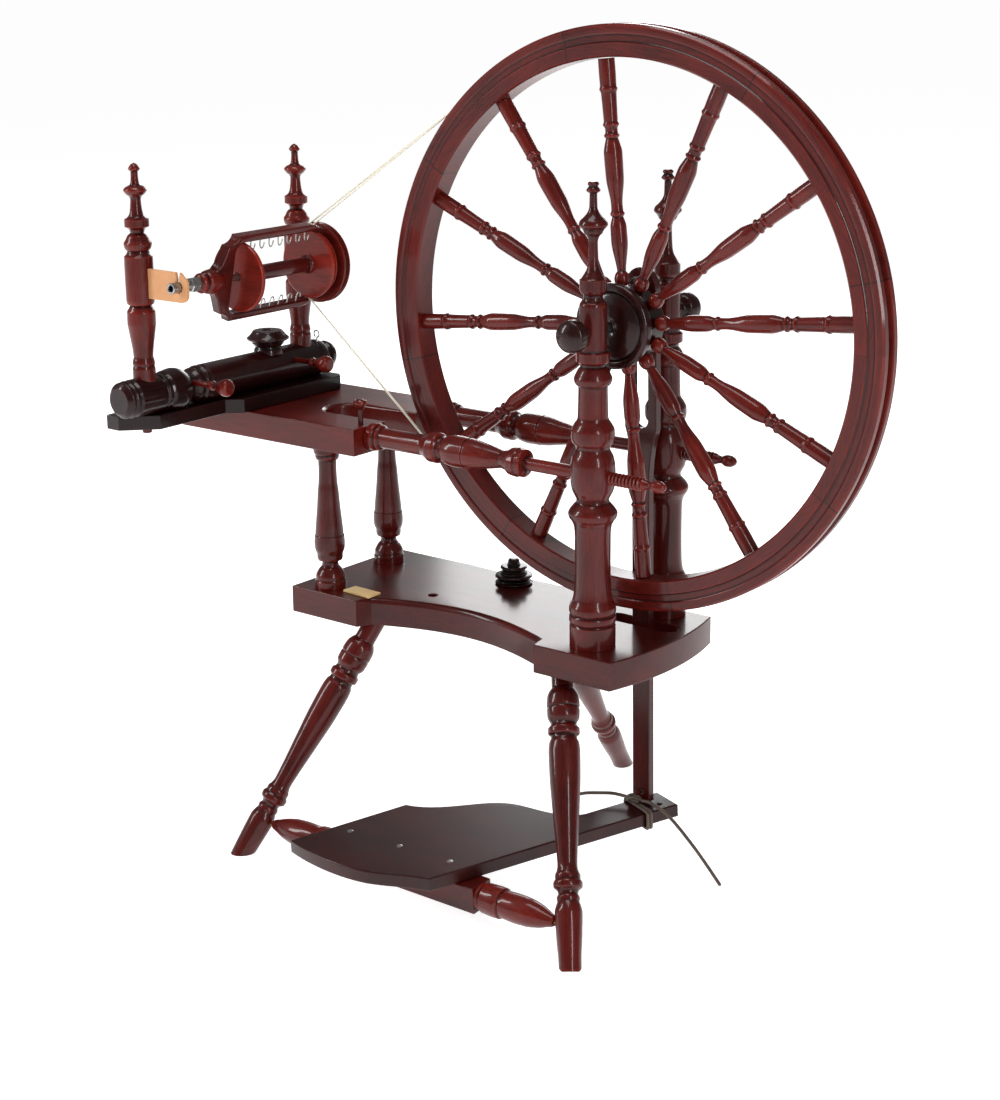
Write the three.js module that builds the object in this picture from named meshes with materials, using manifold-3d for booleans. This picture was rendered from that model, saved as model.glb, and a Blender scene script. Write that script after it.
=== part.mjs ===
// A double-drive spinning wheel in turned, stained hardwood: a drive wheel between two posts on a three-legged base,
// a raised table with the flyer and bobbin, and a treadle with a footman under the crank.
// Millimetres, +Z up. X runs from the flyer to the wheel, Y runs along the axle away from the spinner.
// Sizes below are measured from the wheel's axle in X and Y, and from the floor in Z.
import * as THREE from "three";
import { mergeVertices } from "three/addons/utils/BufferGeometryUtils.js";
import Module from "manifold-3d";

const wasm = await Module();
wasm.setup();

// ---- fits ----
const FIT_GAP = 0.3; // between two parts that touch
const TURN_GAP = 0.5; // round a shaft that turns

// ---- drive wheel ----
const AXLE_HEIGHT = 623;
const WHEEL_RADIUS = 305;
const RIM_DEPTH = 33.2;
const RIM_WIDTH = 29.5;
const BAND_GROOVE_DEPTH = 7;
const BAND_GROOVE_HALF_WIDTH = 6;
const RIM_SEGMENTS = 48;
const SPOKE_COUNT = 12;
const FIRST_SPOKE_TURN = 95.4;
const SPOKE_SEGMENTS = 6;
const SPOKE_TURNING_LENGTH = 232.02; // the blank on which the places of the rings are measured
const HUB_RADIUS = 38;
const HUB_NEAR_Y = -31;
const HUB_FAR_Y = 20;
const HUB_SEGMENTS = 24;
const AXLE_RADIUS = 5;

// ---- crank and footman ----
const CRANK_RADIUS = 38;
const CRANK_NEAR_Y = 22;
const CRANK_THICKNESS = 5;
const CRANK_PIN_RADIUS = 4;
const FOOTMAN_NEAR_Y = 30;
const FOOTMAN_THICKNESS = 10;
const FOOTMAN_WIDTH = 22;
const FOOTMAN_HEAD_WIDTH = 40;
const FOOTMAN_EYE_WIDTH = 19;
const FOOTMAN_EYE_BELOW_AXLE = 118;
const FOOTMAN_EYE_ABOVE_AXLE = 30;
const FOOTMAN_FOOT_X = 3.5;
const FOOTMAN_HEAD_X = -3;

// ---- base board ----
const BOARD_TOP = 287;
const BOARD_THICKNESS = 31.5;
const BOARD_LEFT_X = -401;
const BOARD_RIGHT_X = 48;
const BOARD_RIGHT_BULGE = 14;
const BOARD_NEAR_Y = -95;
const BOARD_FAR_Y = 98;
const CUTOUT_START_X = -302;
const CUTOUT_END_X = -50;
const CUTOUT_DEPTH = 46;
const BOARD_SLOT_HALF_LENGTH = 46;
const BOARD_SLOT_NEAR_Y = 24;
const BOARD_SLOT_FAR_Y = 48;
const BOARD_HOLE_RADIUS = 5.5;

// ---- legs ----
const LEG_SEGMENTS = 10;
const LEG_NEAR_LEFT = { top: [-300, -65], foot: [-381, -212] };
const LEG_NEAR_RIGHT = { top: [-38, -60], foot: [79, -206] };
const LEG_FAR = { top: [-134, 57], foot: [-187, 271] };

// ---- table and its balusters ----
const TABLE_TOP = 484;
const TABLE_THICKNESS = 31;
const TABLE_LEFT_X = -581;
const TABLE_RIGHT_X = -305;
const TABLE_NEAR_Y = -88;
const TABLE_FAR_Y = 94;
const TABLE_SLOT_NEAR_Y = -34;
const TABLE_SLOT_FAR_Y = 19;
const TABLE_SLOT_END_X = -412;
const BALUSTER_SEGMENTS = 10;
const BALUSTER_NEAR = [-363, -70];
const BALUSTER_FAR = [-376, 48];

// ---- wheel posts and arms ----
const POST_NEAR_Y = -57.5;
const POST_FAR_Y = 77;
const POST_SEGMENTS = 10;
const ARM_HEIGHT = 471.5;
const ARM_STEM_RADIUS = 7;
const ARM_SEGMENTS = 10;
const AXLE_KNOB_STEM_RADIUS = 5;

// ---- mother-of-all ----
const LOG_X = -500;
const LOG_RADIUS = 21.5;
const LOG_NEAR_Y = -258;
const LOG_FAR_Y = 88;
const LOG_SEGMENTS = 12;
const LOG_PLATE_THICKNESS = 17;
const LOG_FLAT_DEPTH = 1;
const MAIDEN_NEAR_Y = -218;
const MAIDEN_FAR_Y = 36;
const MAIDEN_SEGMENTS = 10;
const MAIDEN_HEIGHT = 243;
const LEATHER_THICKNESS = 4;
const LEATHER_HEIGHT = 34;
const LEATHER_REACH = 76;
const KNOB_Y = -20;
const NEAR_PEG_Y = -159;
const FAR_PEG_Y = 6;
const PEG_RISE = 7;
const EYE_HOOK_Y = 56;

// ---- flyer and bobbin ----
const FLYER_X = -437;
const FLYER_HEIGHT = 650;
const FLYER_REST_TURN = 13;
const FLYER_SHAFT_RADIUS = 4.5;
const ORIFICE_RADIUS = 6;
const ORIFICE_BORE_RADIUS = 3.8;
const ORIFICE_TIP_Y = -231;
const YOKE_NECK_Y = -182;
const YOKE_BEND_Y = -146;
const YOKE_TIP_Y = -9;
const YOKE_INNER_RADIUS = 41.5;
const YOKE_ARM_DEPTH = 8.5;
const YOKE_ARM_WIDTH = 14;
const BOBBIN_RADIUS = 40;
const BOBBIN_CORE_RADIUS = 8.6;
const BOBBIN_NEAR_Y = -129;
const BOBBIN_DISC_THICKNESS = 5.5;
const BOBBIN_FAR_Y = -3;
const BOBBIN_GROOVE_RADIUS = 34;
const WHORL_RADIUS = 46.7;
const WHORL_NEAR_Y = -1;
const WHORL_FAR_Y = 9;
const WHORL_GROOVE_RADIUS = 42;
const DISC_SEGMENTS = 24;

// ---- drive band ----
const BAND_RADIUS = 1;
const BAND_SIDES = 5;
const BAND_WHEEL_SHIFT = 1.2; // each round lies this far to its side of the groove
const BAND_CROSSING_SHARE = 0.55;

// ---- treadle ----
const TREADLE_AXIS_Y = -189;
const TREADLE_AXIS_HEIGHT = 34;
const TREADLE_REST_TILT = 4;
const TREADLE_THICKNESS = 15;
const TREADLE_BAR_LEFT_X = -351;
const TREADLE_BAR_RIGHT_X = 47.5;
const TREADLE_BAR_SIZE = 30;
const PIVOT_PIN_RADIUS = 2.5;
const PIVOT_PIN_IN_LEG = 7;
const LACE_RADIUS = 1.9;

// ---- small parts ----
const NAME_PLATE_SIZE = [40, 20, 3];
const SPARE_WHORL_PLACE = [-200, 66];
const LOCK_PEG_PLACE = [-317, -62];

// ---- materials ----
const woods = {
  mahogany: new THREE.MeshStandardMaterial({ color: 0x5a1c16, roughness: 0.28, metalness: 0 }),
  redder: new THREE.MeshStandardMaterial({ color: 0x7a2418, roughness: 0.28, metalness: 0 }),
  darker: new THREE.MeshStandardMaterial({ color: 0x2e120e, roughness: 0.3, metalness: 0 }),
};
const steel = new THREE.MeshStandardMaterial({ color: 0x9a9a98, roughness: 0.3, metalness: 1 });
const brass = new THREE.MeshStandardMaterial({ color: 0xc49a45, roughness: 0.35, metalness: 1 });
const tanLeather = new THREE.MeshStandardMaterial({ color: 0xc98a55, roughness: 0.7, metalness: 0 });
const laceLeather = new THREE.MeshStandardMaterial({ color: 0x4a3a30, roughness: 0.8, metalness: 0 });
const paleWood = new THREE.MeshStandardMaterial({ color: 0xd9bd85, roughness: 0.6, metalness: 0 });
const cotton = new THREE.MeshStandardMaterial({ color: 0xe6dfc8, roughness: 0.9, metalness: 0 });

const wheelThings = new THREE.Group();
const degrees = (value) => (value * Math.PI) / 180;

// ---- shapes ----

// The solid of a geometry, for cutting and joining.
function solidOf(geometry) {
  const bare = geometry.index ? geometry.toNonIndexed() : geometry.clone();
  bare.deleteAttribute("normal");
  bare.deleteAttribute("uv");
  const merged = mergeVertices(bare, 1e-4);
  const mesh = new wasm.Mesh({
    numProp: 3,
    vertProperties: merged.attributes.position.array,
    triVerts: new Uint32Array(merged.index.array),
  });
  return new wasm.Manifold(mesh);
}

function geometryOf(solid) {
  const mesh = solid.getMesh();
  const points = new Float32Array(mesh.numVert * 3);
  for (let i = 0; i < mesh.numVert; i++) {
    points.set(mesh.vertProperties.subarray(i * mesh.numProp, i * mesh.numProp + 3), i * 3);
  }
  const geometry = new THREE.BufferGeometry();
  geometry.setAttribute("position", new THREE.BufferAttribute(points, 3));
  geometry.setIndex(new THREE.BufferAttribute(new Uint32Array(mesh.triVerts), 1));
  const flat = geometry.toNonIndexed();
  flat.computeVertexNormals();
  return flat;
}

function cut(geometry, ...tools) {
  let solid = solidOf(geometry);
  for (const tool of tools) solid = solid.subtract(solidOf(tool));
  return geometryOf(solid);
}

function join(...pieces) {
  let solid = solidOf(pieces[0]);
  for (const piece of pieces.slice(1)) solid = solid.add(solidOf(piece));
  return geometryOf(solid);
}

// A piece turned round Y from [radius, length along Y] pairs that run towards +Y.
function turned(profile, segments) {
  const points = profile.map(([radius, along]) => new THREE.Vector2(radius, along));
  return new THREE.LatheGeometry(points, segments);
}

// The same, standing along Z.
function turnedUp(profile, segments) {
  return turned(profile, segments).rotateX(Math.PI / 2);
}

// The same, lying along X.
function turnedAcross(profile, segments) {
  return turned(profile, segments).rotateZ(-Math.PI / 2);
}

function block(sizeX, sizeY, sizeZ, x, y, z) {
  return new THREE.BoxGeometry(sizeX, sizeY, sizeZ).translate(x, y, z);
}

function rodAlongY(radius, nearY, farY, segments) {
  const length = farY - nearY;
  return new THREE.CylinderGeometry(radius, radius, length, segments).translate(0, nearY + length / 2, 0);
}

function rodAlongX(radius, leftX, rightX, segments) {
  const length = rightX - leftX;
  const rod = new THREE.CylinderGeometry(radius, radius, length, segments).rotateZ(-Math.PI / 2);
  return rod.translate(leftX + length / 2, 0, 0);
}

function rodAlongZ(radius, low, high, segments) {
  const length = high - low;
  const rod = new THREE.CylinderGeometry(radius, radius, length, segments).rotateX(Math.PI / 2);
  return rod.translate(0, 0, low + length / 2);
}

// A flat board from an outline in X and Y, lying between two heights.
function board(outline, low, high) {
  const shape = outline instanceof THREE.Shape ? outline : new THREE.Shape(outline);
  const options = { depth: high - low, bevelEnabled: false, curveSegments: 6 };
  return new THREE.ExtrudeGeometry(shape, options).translate(0, 0, low);
}

// A cord or wire along a curve.
function cordAlong(curve, radius, steps, sides) {
  const shape = new THREE.Shape();
  for (let i = 0; i < sides; i++) {
    const angle = (2 * Math.PI * i) / sides;
    const x = radius * Math.cos(angle);
    const y = radius * Math.sin(angle);
    if (i === 0) shape.moveTo(x, y);
    else shape.lineTo(x, y);
  }
  shape.closePath();
  return new THREE.ExtrudeGeometry(shape, { steps, extrudePath: curve, curveSegments: 1 });
}

function add(name, geometry, material, place = [0, 0, 0]) {
  const mesh = new THREE.Mesh(geometry, material);
  mesh.name = name;
  mesh.position.set(...place);
  wheelThings.add(mesh);
  return mesh;
}

// ---- the drive wheel ----

function makeRim() {
  const inner = WHEEL_RADIUS - RIM_DEPTH;
  const half = RIM_WIDTH / 2;
  const floor = WHEEL_RADIUS - BAND_GROOVE_DEPTH;
  const nearHalf = [
    [inner, -half + 1.6],
    [inner + 1.8, -half],
    [inner + 13, -half],
    [inner + 15, -half + 2],
    [inner + 22, -half + 2],
    [inner + 24, -half + 0.7],
    [WHEEL_RADIUS - 2.5, -half + 0.7],
    [WHEEL_RADIUS, -half + 3],
    [WHEEL_RADIUS, -BAND_GROOVE_HALF_WIDTH],
    [floor, -3],
  ];
  const farHalf = nearHalf.map(([radius, y]) => [radius, -y]).reverse();
  const profile = [...nearHalf, ...farHalf, nearHalf[0]];
  add("rim", turned(profile, RIM_SEGMENTS), woods.mahogany, [0, 0, AXLE_HEIGHT]);
}

function makeSpokes() {
  const start = HUB_RADIUS + 0.9;
  const end = (WHEEL_RADIUS - RIM_DEPTH) * Math.cos(Math.PI / RIM_SEGMENTS) - FIT_GAP;
  const stretch = (end - start) / SPOKE_TURNING_LENGTH;
  const profile = [
    [0, start],
    [4.6, start],
    [8.2, start + 7 * stretch],
    [4.8, start + 14 * stretch],
    [8.6, start + 50 * stretch],
    [5.8, start + 71 * stretch],
    [9.6, start + 128 * stretch],
    [6.2, start + 151 * stretch],
    [6.4, start + 160 * stretch],
    [8.6, start + 166 * stretch],
    [9.3, start + 201 * stretch],
    [8.6, end],
    [0, end],
  ];
  for (let i = 0; i < SPOKE_COUNT; i++) {
    const turn = FIRST_SPOKE_TURN - (360 / SPOKE_COUNT) * i;
    const spoke = add("spoke_" + String(i + 1).padStart(2, "0"), turnedUp(profile, SPOKE_SEGMENTS), woods.redder);
    spoke.position.z = AXLE_HEIGHT;
    spoke.rotation.y = degrees(90 - turn);
  }
}

function makeHub() {
  const bore = AXLE_RADIUS + FIT_GAP;
  const near = HUB_NEAR_Y;
  const profile = [
    [bore, near + 1],
    [20, near],
    [35, near + 5],
    [38, near + 3.5],
    [45, near + 7],
    [45, near + 12],
    [HUB_RADIUS + 0.4, near + 18],
    [HUB_RADIUS + 0.4, HUB_FAR_Y - 6],
    [28, HUB_FAR_Y],
    [bore, HUB_FAR_Y],
    [bore, near + 1],
  ];
  add("hub", turned(profile, HUB_SEGMENTS), woods.darker, [0, 0, AXLE_HEIGHT]);
}

// The steel axle with the crank cheek and the short pin that drives the footman.
function makeAxle() {
  const nearEnd = POST_NEAR_Y + 2;
  const farEnd = POST_FAR_Y - 2;
  const pinX = FOOTMAN_HEAD_X;
  const pinZ = Math.sqrt(CRANK_RADIUS ** 2 - pinX ** 2);
  const rod = rodAlongY(AXLE_RADIUS, nearEnd, farEnd, 16);
  const cheek = new THREE.Shape();
  const tilt = Math.atan2(pinZ, pinX);
  cheek.absarc(0, 0, 9, tilt + Math.PI / 2, tilt + (3 * Math.PI) / 2, false);
  cheek.absarc(pinX, pinZ, 7.5, tilt - Math.PI / 2, tilt + Math.PI / 2, false);
  cheek.closePath();
  const plate = new THREE.ExtrudeGeometry(cheek, { depth: CRANK_THICKNESS, bevelEnabled: false, curveSegments: 8 });
  plate.rotateX(Math.PI / 2).translate(0, CRANK_NEAR_Y + CRANK_THICKNESS, 0);
  const pinStart = CRANK_NEAR_Y + CRANK_THICKNESS - 1;
  const pin = rodAlongY(CRANK_PIN_RADIUS, pinStart, FOOTMAN_NEAR_Y - 0.6, 12).translate(pinX, 0, pinZ);
  add("axle_crank", join(rod, plate, pin), steel, [0, 0, AXLE_HEIGHT]);
}

// ---- the frame ----

function cutoutEdge(edgeY, side) {
  const points = [];
  const length = CUTOUT_END_X - CUTOUT_START_X;
  const steps = 12;
  for (let i = 0; i <= steps; i++) {
    const share = i / steps;
    const rise = Math.sin(Math.PI * (0.12 + 0.76 * share));
    points.push(new THREE.Vector2(CUTOUT_START_X + 8 + (length - 16) * share, edgeY + side * rise));
  }
  return points;
}

function boardOutline() {
  const near = cutoutEdge(BOARD_NEAR_Y, CUTOUT_DEPTH);
  const far = cutoutEdge(BOARD_FAR_Y, -8).reverse();
  const outline = [
    new THREE.Vector2(BOARD_LEFT_X, BOARD_NEAR_Y),
    new THREE.Vector2(CUTOUT_START_X, BOARD_NEAR_Y),
    ...near,
    new THREE.Vector2(CUTOUT_END_X, BOARD_NEAR_Y),
    new THREE.Vector2(BOARD_RIGHT_X, BOARD_NEAR_Y),
  ];
  const middleY = (BOARD_NEAR_Y + BOARD_FAR_Y) / 2;
  const halfY = (BOARD_FAR_Y - BOARD_NEAR_Y) / 2;
  for (let i = 1; i < 8; i++) {
    const share = -1 + i / 4;
    const x = BOARD_RIGHT_X + BOARD_RIGHT_BULGE * (1 - share * share);
    outline.push(new THREE.Vector2(x, middleY + share * halfY));
  }
  outline.push(new THREE.Vector2(BOARD_RIGHT_X, BOARD_FAR_Y));
  outline.push(new THREE.Vector2(CUTOUT_END_X, BOARD_FAR_Y));
  outline.push(...far);
  outline.push(new THREE.Vector2(CUTOUT_START_X, BOARD_FAR_Y - 4));
  outline.push(new THREE.Vector2(BOARD_LEFT_X, BOARD_FAR_Y - 4));
  return outline;
}

function makeBaseBoard() {
  const shape = new THREE.Shape(boardOutline());
  const slot = new THREE.Path();
  const radius = (BOARD_SLOT_FAR_Y - BOARD_SLOT_NEAR_Y) / 2;
  const slotY = BOARD_SLOT_NEAR_Y + radius;
  const reach = BOARD_SLOT_HALF_LENGTH - radius;
  slot.absarc(reach, slotY, radius, -Math.PI / 2, Math.PI / 2, false);
  slot.absarc(-reach, slotY, radius, Math.PI / 2, (3 * Math.PI) / 2, false);
  slot.closePath();
  const hole = new THREE.Path();
  hole.absarc(-246, -26, BOARD_HOLE_RADIUS, 0, 2 * Math.PI, false);
  shape.holes.push(slot, hole);
  add("base_board", board(shape, BOARD_TOP - BOARD_THICKNESS, BOARD_TOP), woods.mahogany);
}

// [distance down the leg from the board, radius]
const LEG_PROFILE = [
  [12, -14],
  [12, 22],
  [17, 33],
  [17.8, 46],
  [13.8, 63],
  [17, 68],
  [17, 75],
  [13.6, 78],
  [16.9, 94],
  [14.8, 145],
  [10.4, 213],
  [15.2, 230],
  [15.2, 237],
  [10.2, 243],
  [14.4, 262],
];

function makeLeg(name, leg) {
  const under = BOARD_TOP - BOARD_THICKNESS;
  const top = new THREE.Vector3(leg.top[0], leg.top[1], under);
  const foot = new THREE.Vector3(leg.foot[0], leg.foot[1], 0);
  const way = foot.clone().sub(top);
  const length = way.length();
  const profile = [[0, -14], ...LEG_PROFILE, [11.8, length + 2], [0, length + 2]];
  const geometry = turned(profile, LEG_SEGMENTS);
  const turn = new THREE.Quaternion().setFromUnitVectors(new THREE.Vector3(0, 1, 0), way.normalize());
  geometry.applyQuaternion(turn).translate(top.x, top.y, top.z);
  const above = block(160, 160, 60, top.x, top.y, under - FIT_GAP + 30);
  const below = block(120, 120, 40, foot.x, foot.y, -20);
  add(name, cut(geometry, above, below, ...pinSocket(leg)), woods.mahogany);
}

// The hole in a front leg that takes the treadle's pivot pin.
function pinSocket(leg) {
  if (leg === LEG_FAR) return [];
  const radius = PIVOT_PIN_RADIUS + FIT_GAP;
  const inner = leg === LEG_NEAR_LEFT;
  const barEnd = inner ? TREADLE_BAR_LEFT_X : TREADLE_BAR_RIGHT_X;
  const outer = inner ? barEnd - 4 - PIVOT_PIN_IN_LEG : barEnd + 4 + PIVOT_PIN_IN_LEG;
  const hole = rodAlongX(radius, Math.min(barEnd, outer), Math.max(barEnd, outer), 12);
  return [hole.translate(0, TREADLE_AXIS_Y, TREADLE_AXIS_HEIGHT)];
}

// [radius, height above the board]
const BALUSTER_PROFILE = [
  [18.4, FIT_GAP],
  [18, 10],
  [14, 23],
  [9.4, 29],
  [9.6, 32],
  [14.8, 34],
  [14.9, 38],
  [17.4, 47],
  [17.6, 54],
  [15.4, 84],
  [11.4, 118],
  [10.2, 140],
  [11, 153],
  [13.8, 157],
];

function makeBaluster(name, [x, y]) {
  const height = TABLE_TOP - TABLE_THICKNESS - BOARD_TOP - FIT_GAP;
  const profile = [[0, FIT_GAP], ...BALUSTER_PROFILE, [16, height - 2], [16, height], [0, height]];
  add(name, turnedUp(profile, BALUSTER_SEGMENTS), woods.mahogany, [x, y, BOARD_TOP]);
}

function makeTable() {
  const outline = new THREE.Shape();
  const radius = (TABLE_SLOT_FAR_Y - TABLE_SLOT_NEAR_Y) / 2;
  outline.moveTo(TABLE_LEFT_X, TABLE_NEAR_Y);
  outline.lineTo(TABLE_RIGHT_X, TABLE_NEAR_Y);
  outline.lineTo(TABLE_RIGHT_X, TABLE_SLOT_NEAR_Y);
  outline.lineTo(TABLE_SLOT_END_X + radius, TABLE_SLOT_NEAR_Y);
  const slotY = TABLE_SLOT_NEAR_Y + radius;
  outline.absarc(TABLE_SLOT_END_X + radius, slotY, radius, (3 * Math.PI) / 2, Math.PI / 2, true);
  outline.lineTo(TABLE_RIGHT_X, TABLE_SLOT_FAR_Y);
  outline.lineTo(TABLE_RIGHT_X, TABLE_FAR_Y);
  outline.lineTo(TABLE_LEFT_X, TABLE_FAR_Y);
  outline.closePath();
  const plain = board(outline, TABLE_TOP - TABLE_THICKNESS, TABLE_TOP);
  const [pegX, pegY] = LOCK_PEG_PLACE;
  const pegHole = rodAlongZ(3.2 + FIT_GAP, TABLE_TOP - 14, TABLE_TOP + 1, 12).translate(pegX, pegY, 0);
  add("table_board", cut(plain, pegHole), woods.mahogany);
}

// [radius, height from the axle], from the foot up
function postProfile() {
  const foot = BOARD_TOP - AXLE_HEIGHT + FIT_GAP;
  return [
    [0, foot],
    [24.3, foot],
    [24.3, -313],
    [22.8, -311],
    [24.8, -307],
    [24.6, -294],
    [19.6, -270],
    [18.9, -212],
    [21.7, -202],
    [25.8, -191],
    [17.2, -178],
    [23.5, -155],
    [17.4, -122],
    [22.6, -110],
    [16, -91],
    [15.2, -58],
    [20.4, -49],
    [13.2, -36],
    [17.6, -29],
    [14.4, -21],
    [14.2, 27],
    [10, 33],
    [14, 43],
    [14, 53],
    [5.4, 70],
    [4.6, 91],
    [14.8, 108],
    [3.9, 126],
    [3.8, 139],
    [7.2, 143],
    [5.6, 150],
    [0, 152],
  ];
}

function makePost(name, y) {
  const plain = turnedUp(postProfile(), POST_SEGMENTS);
  const arm = rodAlongX(ARM_STEM_RADIUS + FIT_GAP, -40, 40, 16).translate(0, 0, ARM_HEIGHT - AXLE_HEIGHT);
  // one hole right through: the axle turns in its inner half, the knob's stem in its outer half
  const through = rodAlongY(AXLE_RADIUS + TURN_GAP, -40, 40, 16);
  add(name, cut(plain, arm, through), woods.mahogany, [0, y, AXLE_HEIGHT]);
}

// The mushroom-shaped knob that holds the axle in from outside, turning on its own stem.
function makeAxleKnob(name, y, side) {
  const face = 14.6;
  const profile = [
    [0, 3.4],
    [AXLE_KNOB_STEM_RADIUS, 3.4],
    [AXLE_KNOB_STEM_RADIUS, face],
    [7, face + 0.3],
    [7.5, face + 7],
    [14, face + 12],
    [17, face + 20],
    [16.4, face + 27],
    [10, face + 32],
    [0, face + 34],
  ];
  const knob = add(name, turned(profile, 14), woods.darker, [0, y, AXLE_HEIGHT]);
  if (side < 0) knob.rotation.z = Math.PI;
}

// [radius, X from the axle]
const ARM_PROFILE = [
  [13, TABLE_RIGHT_X + FIT_GAP],
  [15.8, TABLE_RIGHT_X + 3],
  [15.8, TABLE_RIGHT_X + 10],
  [11.6, TABLE_RIGHT_X + 19],
  [11.6, -228],
  [17, -213],
  [17, -206],
  [12.6, -198],
  [17.4, -182],
  [17.2, -166],
  [9.4, -118],
  [15.6, -103],
  [16, -95],
  [12, -86],
  [ARM_STEM_RADIUS, -84],
  [ARM_STEM_RADIUS, 58],
  [4, 71],
  [6.4, 79],
  [5, 87],
];

function makeArm(name, y) {
  const profile = [[0, ARM_PROFILE[0][1]], ...ARM_PROFILE, [0, 90]];
  add(name, turnedAcross(profile, ARM_SEGMENTS), woods.redder, [0, y, ARM_HEIGHT]);
}

// ---- mother-of-all ----

function makeLogPlate() {
  const outline = [
    [-34, LOG_NEAR_Y + 11],
    [-15, LOG_NEAR_Y + 11],
    [18, LOG_NEAR_Y + 44],
    [18, -112],
    [34, -97],
    [34, 68],
    [26, 76],
    [-34, 76],
  ];
  const points = outline.map(([x, y]) => new THREE.Vector2(x, y));
  const low = TABLE_TOP + FIT_GAP;
  const high = TABLE_TOP + LOG_PLATE_THICKNESS;
  const plate = board(points, low, high);
  const dowel = rodAlongZ(5.5, low - 5, low + 4, 12).translate(0, MAIDEN_NEAR_Y, 0);
  add("mother_of_all_plate", join(plate, dowel), woods.darker, [LOG_X, 0, 0]);
}

const LOG_HEIGHT = TABLE_TOP + LOG_PLATE_THICKNESS + LOG_RADIUS - LOG_FLAT_DEPTH + FIT_GAP;
const LOG_TOP = LOG_HEIGHT + LOG_RADIUS;

// [radius, distance from the log's near end]
function logProfile() {
  const length = LOG_FAR_Y - LOG_NEAR_Y;
  return [
    [0, 0],
    [14, 0],
    [LOG_RADIUS - 0.5, 7],
    [LOG_RADIUS - 1.5, 10],
    [LOG_RADIUS, 14],
    [LOG_RADIUS, 55],
    [LOG_RADIUS - 1.5, 57],
    [LOG_RADIUS, 60],
    [23.2, 70],
    [24.6, 82],
    [23, 90],
    [16, 102],
    [20, 112],
    [19, 116],
    [LOG_RADIUS, 121],
    [LOG_RADIUS, length - 35],
    [LOG_RADIUS - 1.5, length - 33],
    [LOG_RADIUS, length - 29],
    [20, length - 21],
    [14, length - 13],
    [16.5, length - 8],
    [14, length - 3],
    [7, length],
    [0, length],
  ];
}

function seat(radius, x, y) {
  return rodAlongZ(radius, LOG_RADIUS - 5, LOG_RADIUS + 30, 16).translate(x, y, 0);
}

function makeLog() {
  const log = turned(logProfile(), LOG_SEGMENTS).translate(0, LOG_NEAR_Y, 0);
  const low = -LOG_RADIUS + LOG_FLAT_DEPTH - 20;
  const under = block(120, 800, 40, 0, 0, low);
  const pegHole = (y) => rodAlongX(3.2 + TURN_GAP, 6, 60, 10).translate(0, y, PEG_RISE);
  const tools = [under, pegHole(NEAR_PEG_Y), pegHole(FAR_PEG_Y)];
  tools.push(seat(13.4, 0, MAIDEN_NEAR_Y), seat(13.4, 0, MAIDEN_FAR_Y), seat(19.4, 0, KNOB_Y));
  tools.push(rodAlongZ(1.5, LOG_RADIUS - 9, LOG_RADIUS + 9, 8).translate(8, EYE_HOOK_Y, -2));
  add("mother_of_all", cut(log, ...tools), woods.darker, [LOG_X, 0, LOG_HEIGHT]);
}

// [radius, height above the seat on the log]
const MAIDEN_PROFILE = [
  [12.6, 0],
  [12.6, 10],
  [14.2, 13],
  [10.8, 22],
  [12.3, 38],
  [15.6, 60],
  [16, 72],
  [12.2, 81],
  [15.8, 85],
  [15.9, 134],
  [12, 141],
  [15.6, 150],
  [14.6, 156],
  [8, 166],
  [13.5, 172],
  [13.5, 177],
  [6.4, 193],
  [5.8, 202],
  [12.8, 212],
  [7, 220],
  [4.2, 223],
  [4, 228],
  [6.4, 232],
  [5.2, 239],
];

function makeMaiden(name, y) {
  const seatHeight = LOG_TOP - 5 + FIT_GAP;
  const profile = [[0, 0], ...MAIDEN_PROFILE, [0, MAIDEN_HEIGHT - 2]];
  const plain = turnedUp(profile, MAIDEN_SEGMENTS);
  const slotHeight = LEATHER_HEIGHT + 2 * FIT_GAP;
  const slotWidth = LEATHER_THICKNESS + 2 * FIT_GAP;
  const slot = block(32, slotWidth, slotHeight, 12, 0, FLYER_HEIGHT - seatHeight);
  add(name, cut(plain, slot), woods.redder, [LOG_X, y, seatHeight]);
}

function makeLeather(name, y) {
  const shape = new THREE.Shape();
  const half = LEATHER_HEIGHT / 2;
  const start = -3.5;
  const eye = FLYER_X - LOG_X;
  shape.moveTo(start, -half);
  shape.lineTo(LEATHER_REACH - 9, -half);
  shape.absarc(LEATHER_REACH - 9, -half + 9, 9, -Math.PI / 2, 0, false);
  shape.lineTo(LEATHER_REACH, half - 10);
  shape.lineTo(eye + 5, half - 2);
  shape.lineTo(eye + 1, half - 10);
  shape.lineTo(eye - 6, half - 10);
  shape.lineTo(eye - 10, half);
  shape.lineTo(start, half);
  shape.closePath();
  const strip = new THREE.ExtrudeGeometry(shape, {
    depth: LEATHER_THICKNESS,
    bevelEnabled: false,
    curveSegments: 4,
  });
  strip.rotateX(Math.PI / 2).translate(0, LEATHER_THICKNESS / 2, 0);
  const radius = (y < 0 ? ORIFICE_RADIUS : FLYER_SHAFT_RADIUS) + TURN_GAP;
  const eyeHole = rodAlongY(radius, -10, 10, 16).translate(eye, 0, 0);
  add(name, cut(strip, eyeHole), tanLeather, [LOG_X, y, FLYER_HEIGHT]);
}

function makeTensionKnob() {
  const seatHeight = LOG_TOP - 5 + FIT_GAP;
  const profile = [
    [0, 0],
    [18.4, 0],
    [18.4, 8],
    [21, 12],
    [25, 17],
    [24, 21],
    [17.4, 26],
    [16.4, 28],
    [0, 28],
  ];
  const knob = turnedUp(profile, 18);
  const coinSlot = block(16, 2.6, 4, 0, 0, 28);
  add("tension_knob", cut(knob, coinSlot), woods.darker, [LOG_X, KNOB_Y, seatHeight]);
}

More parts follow.
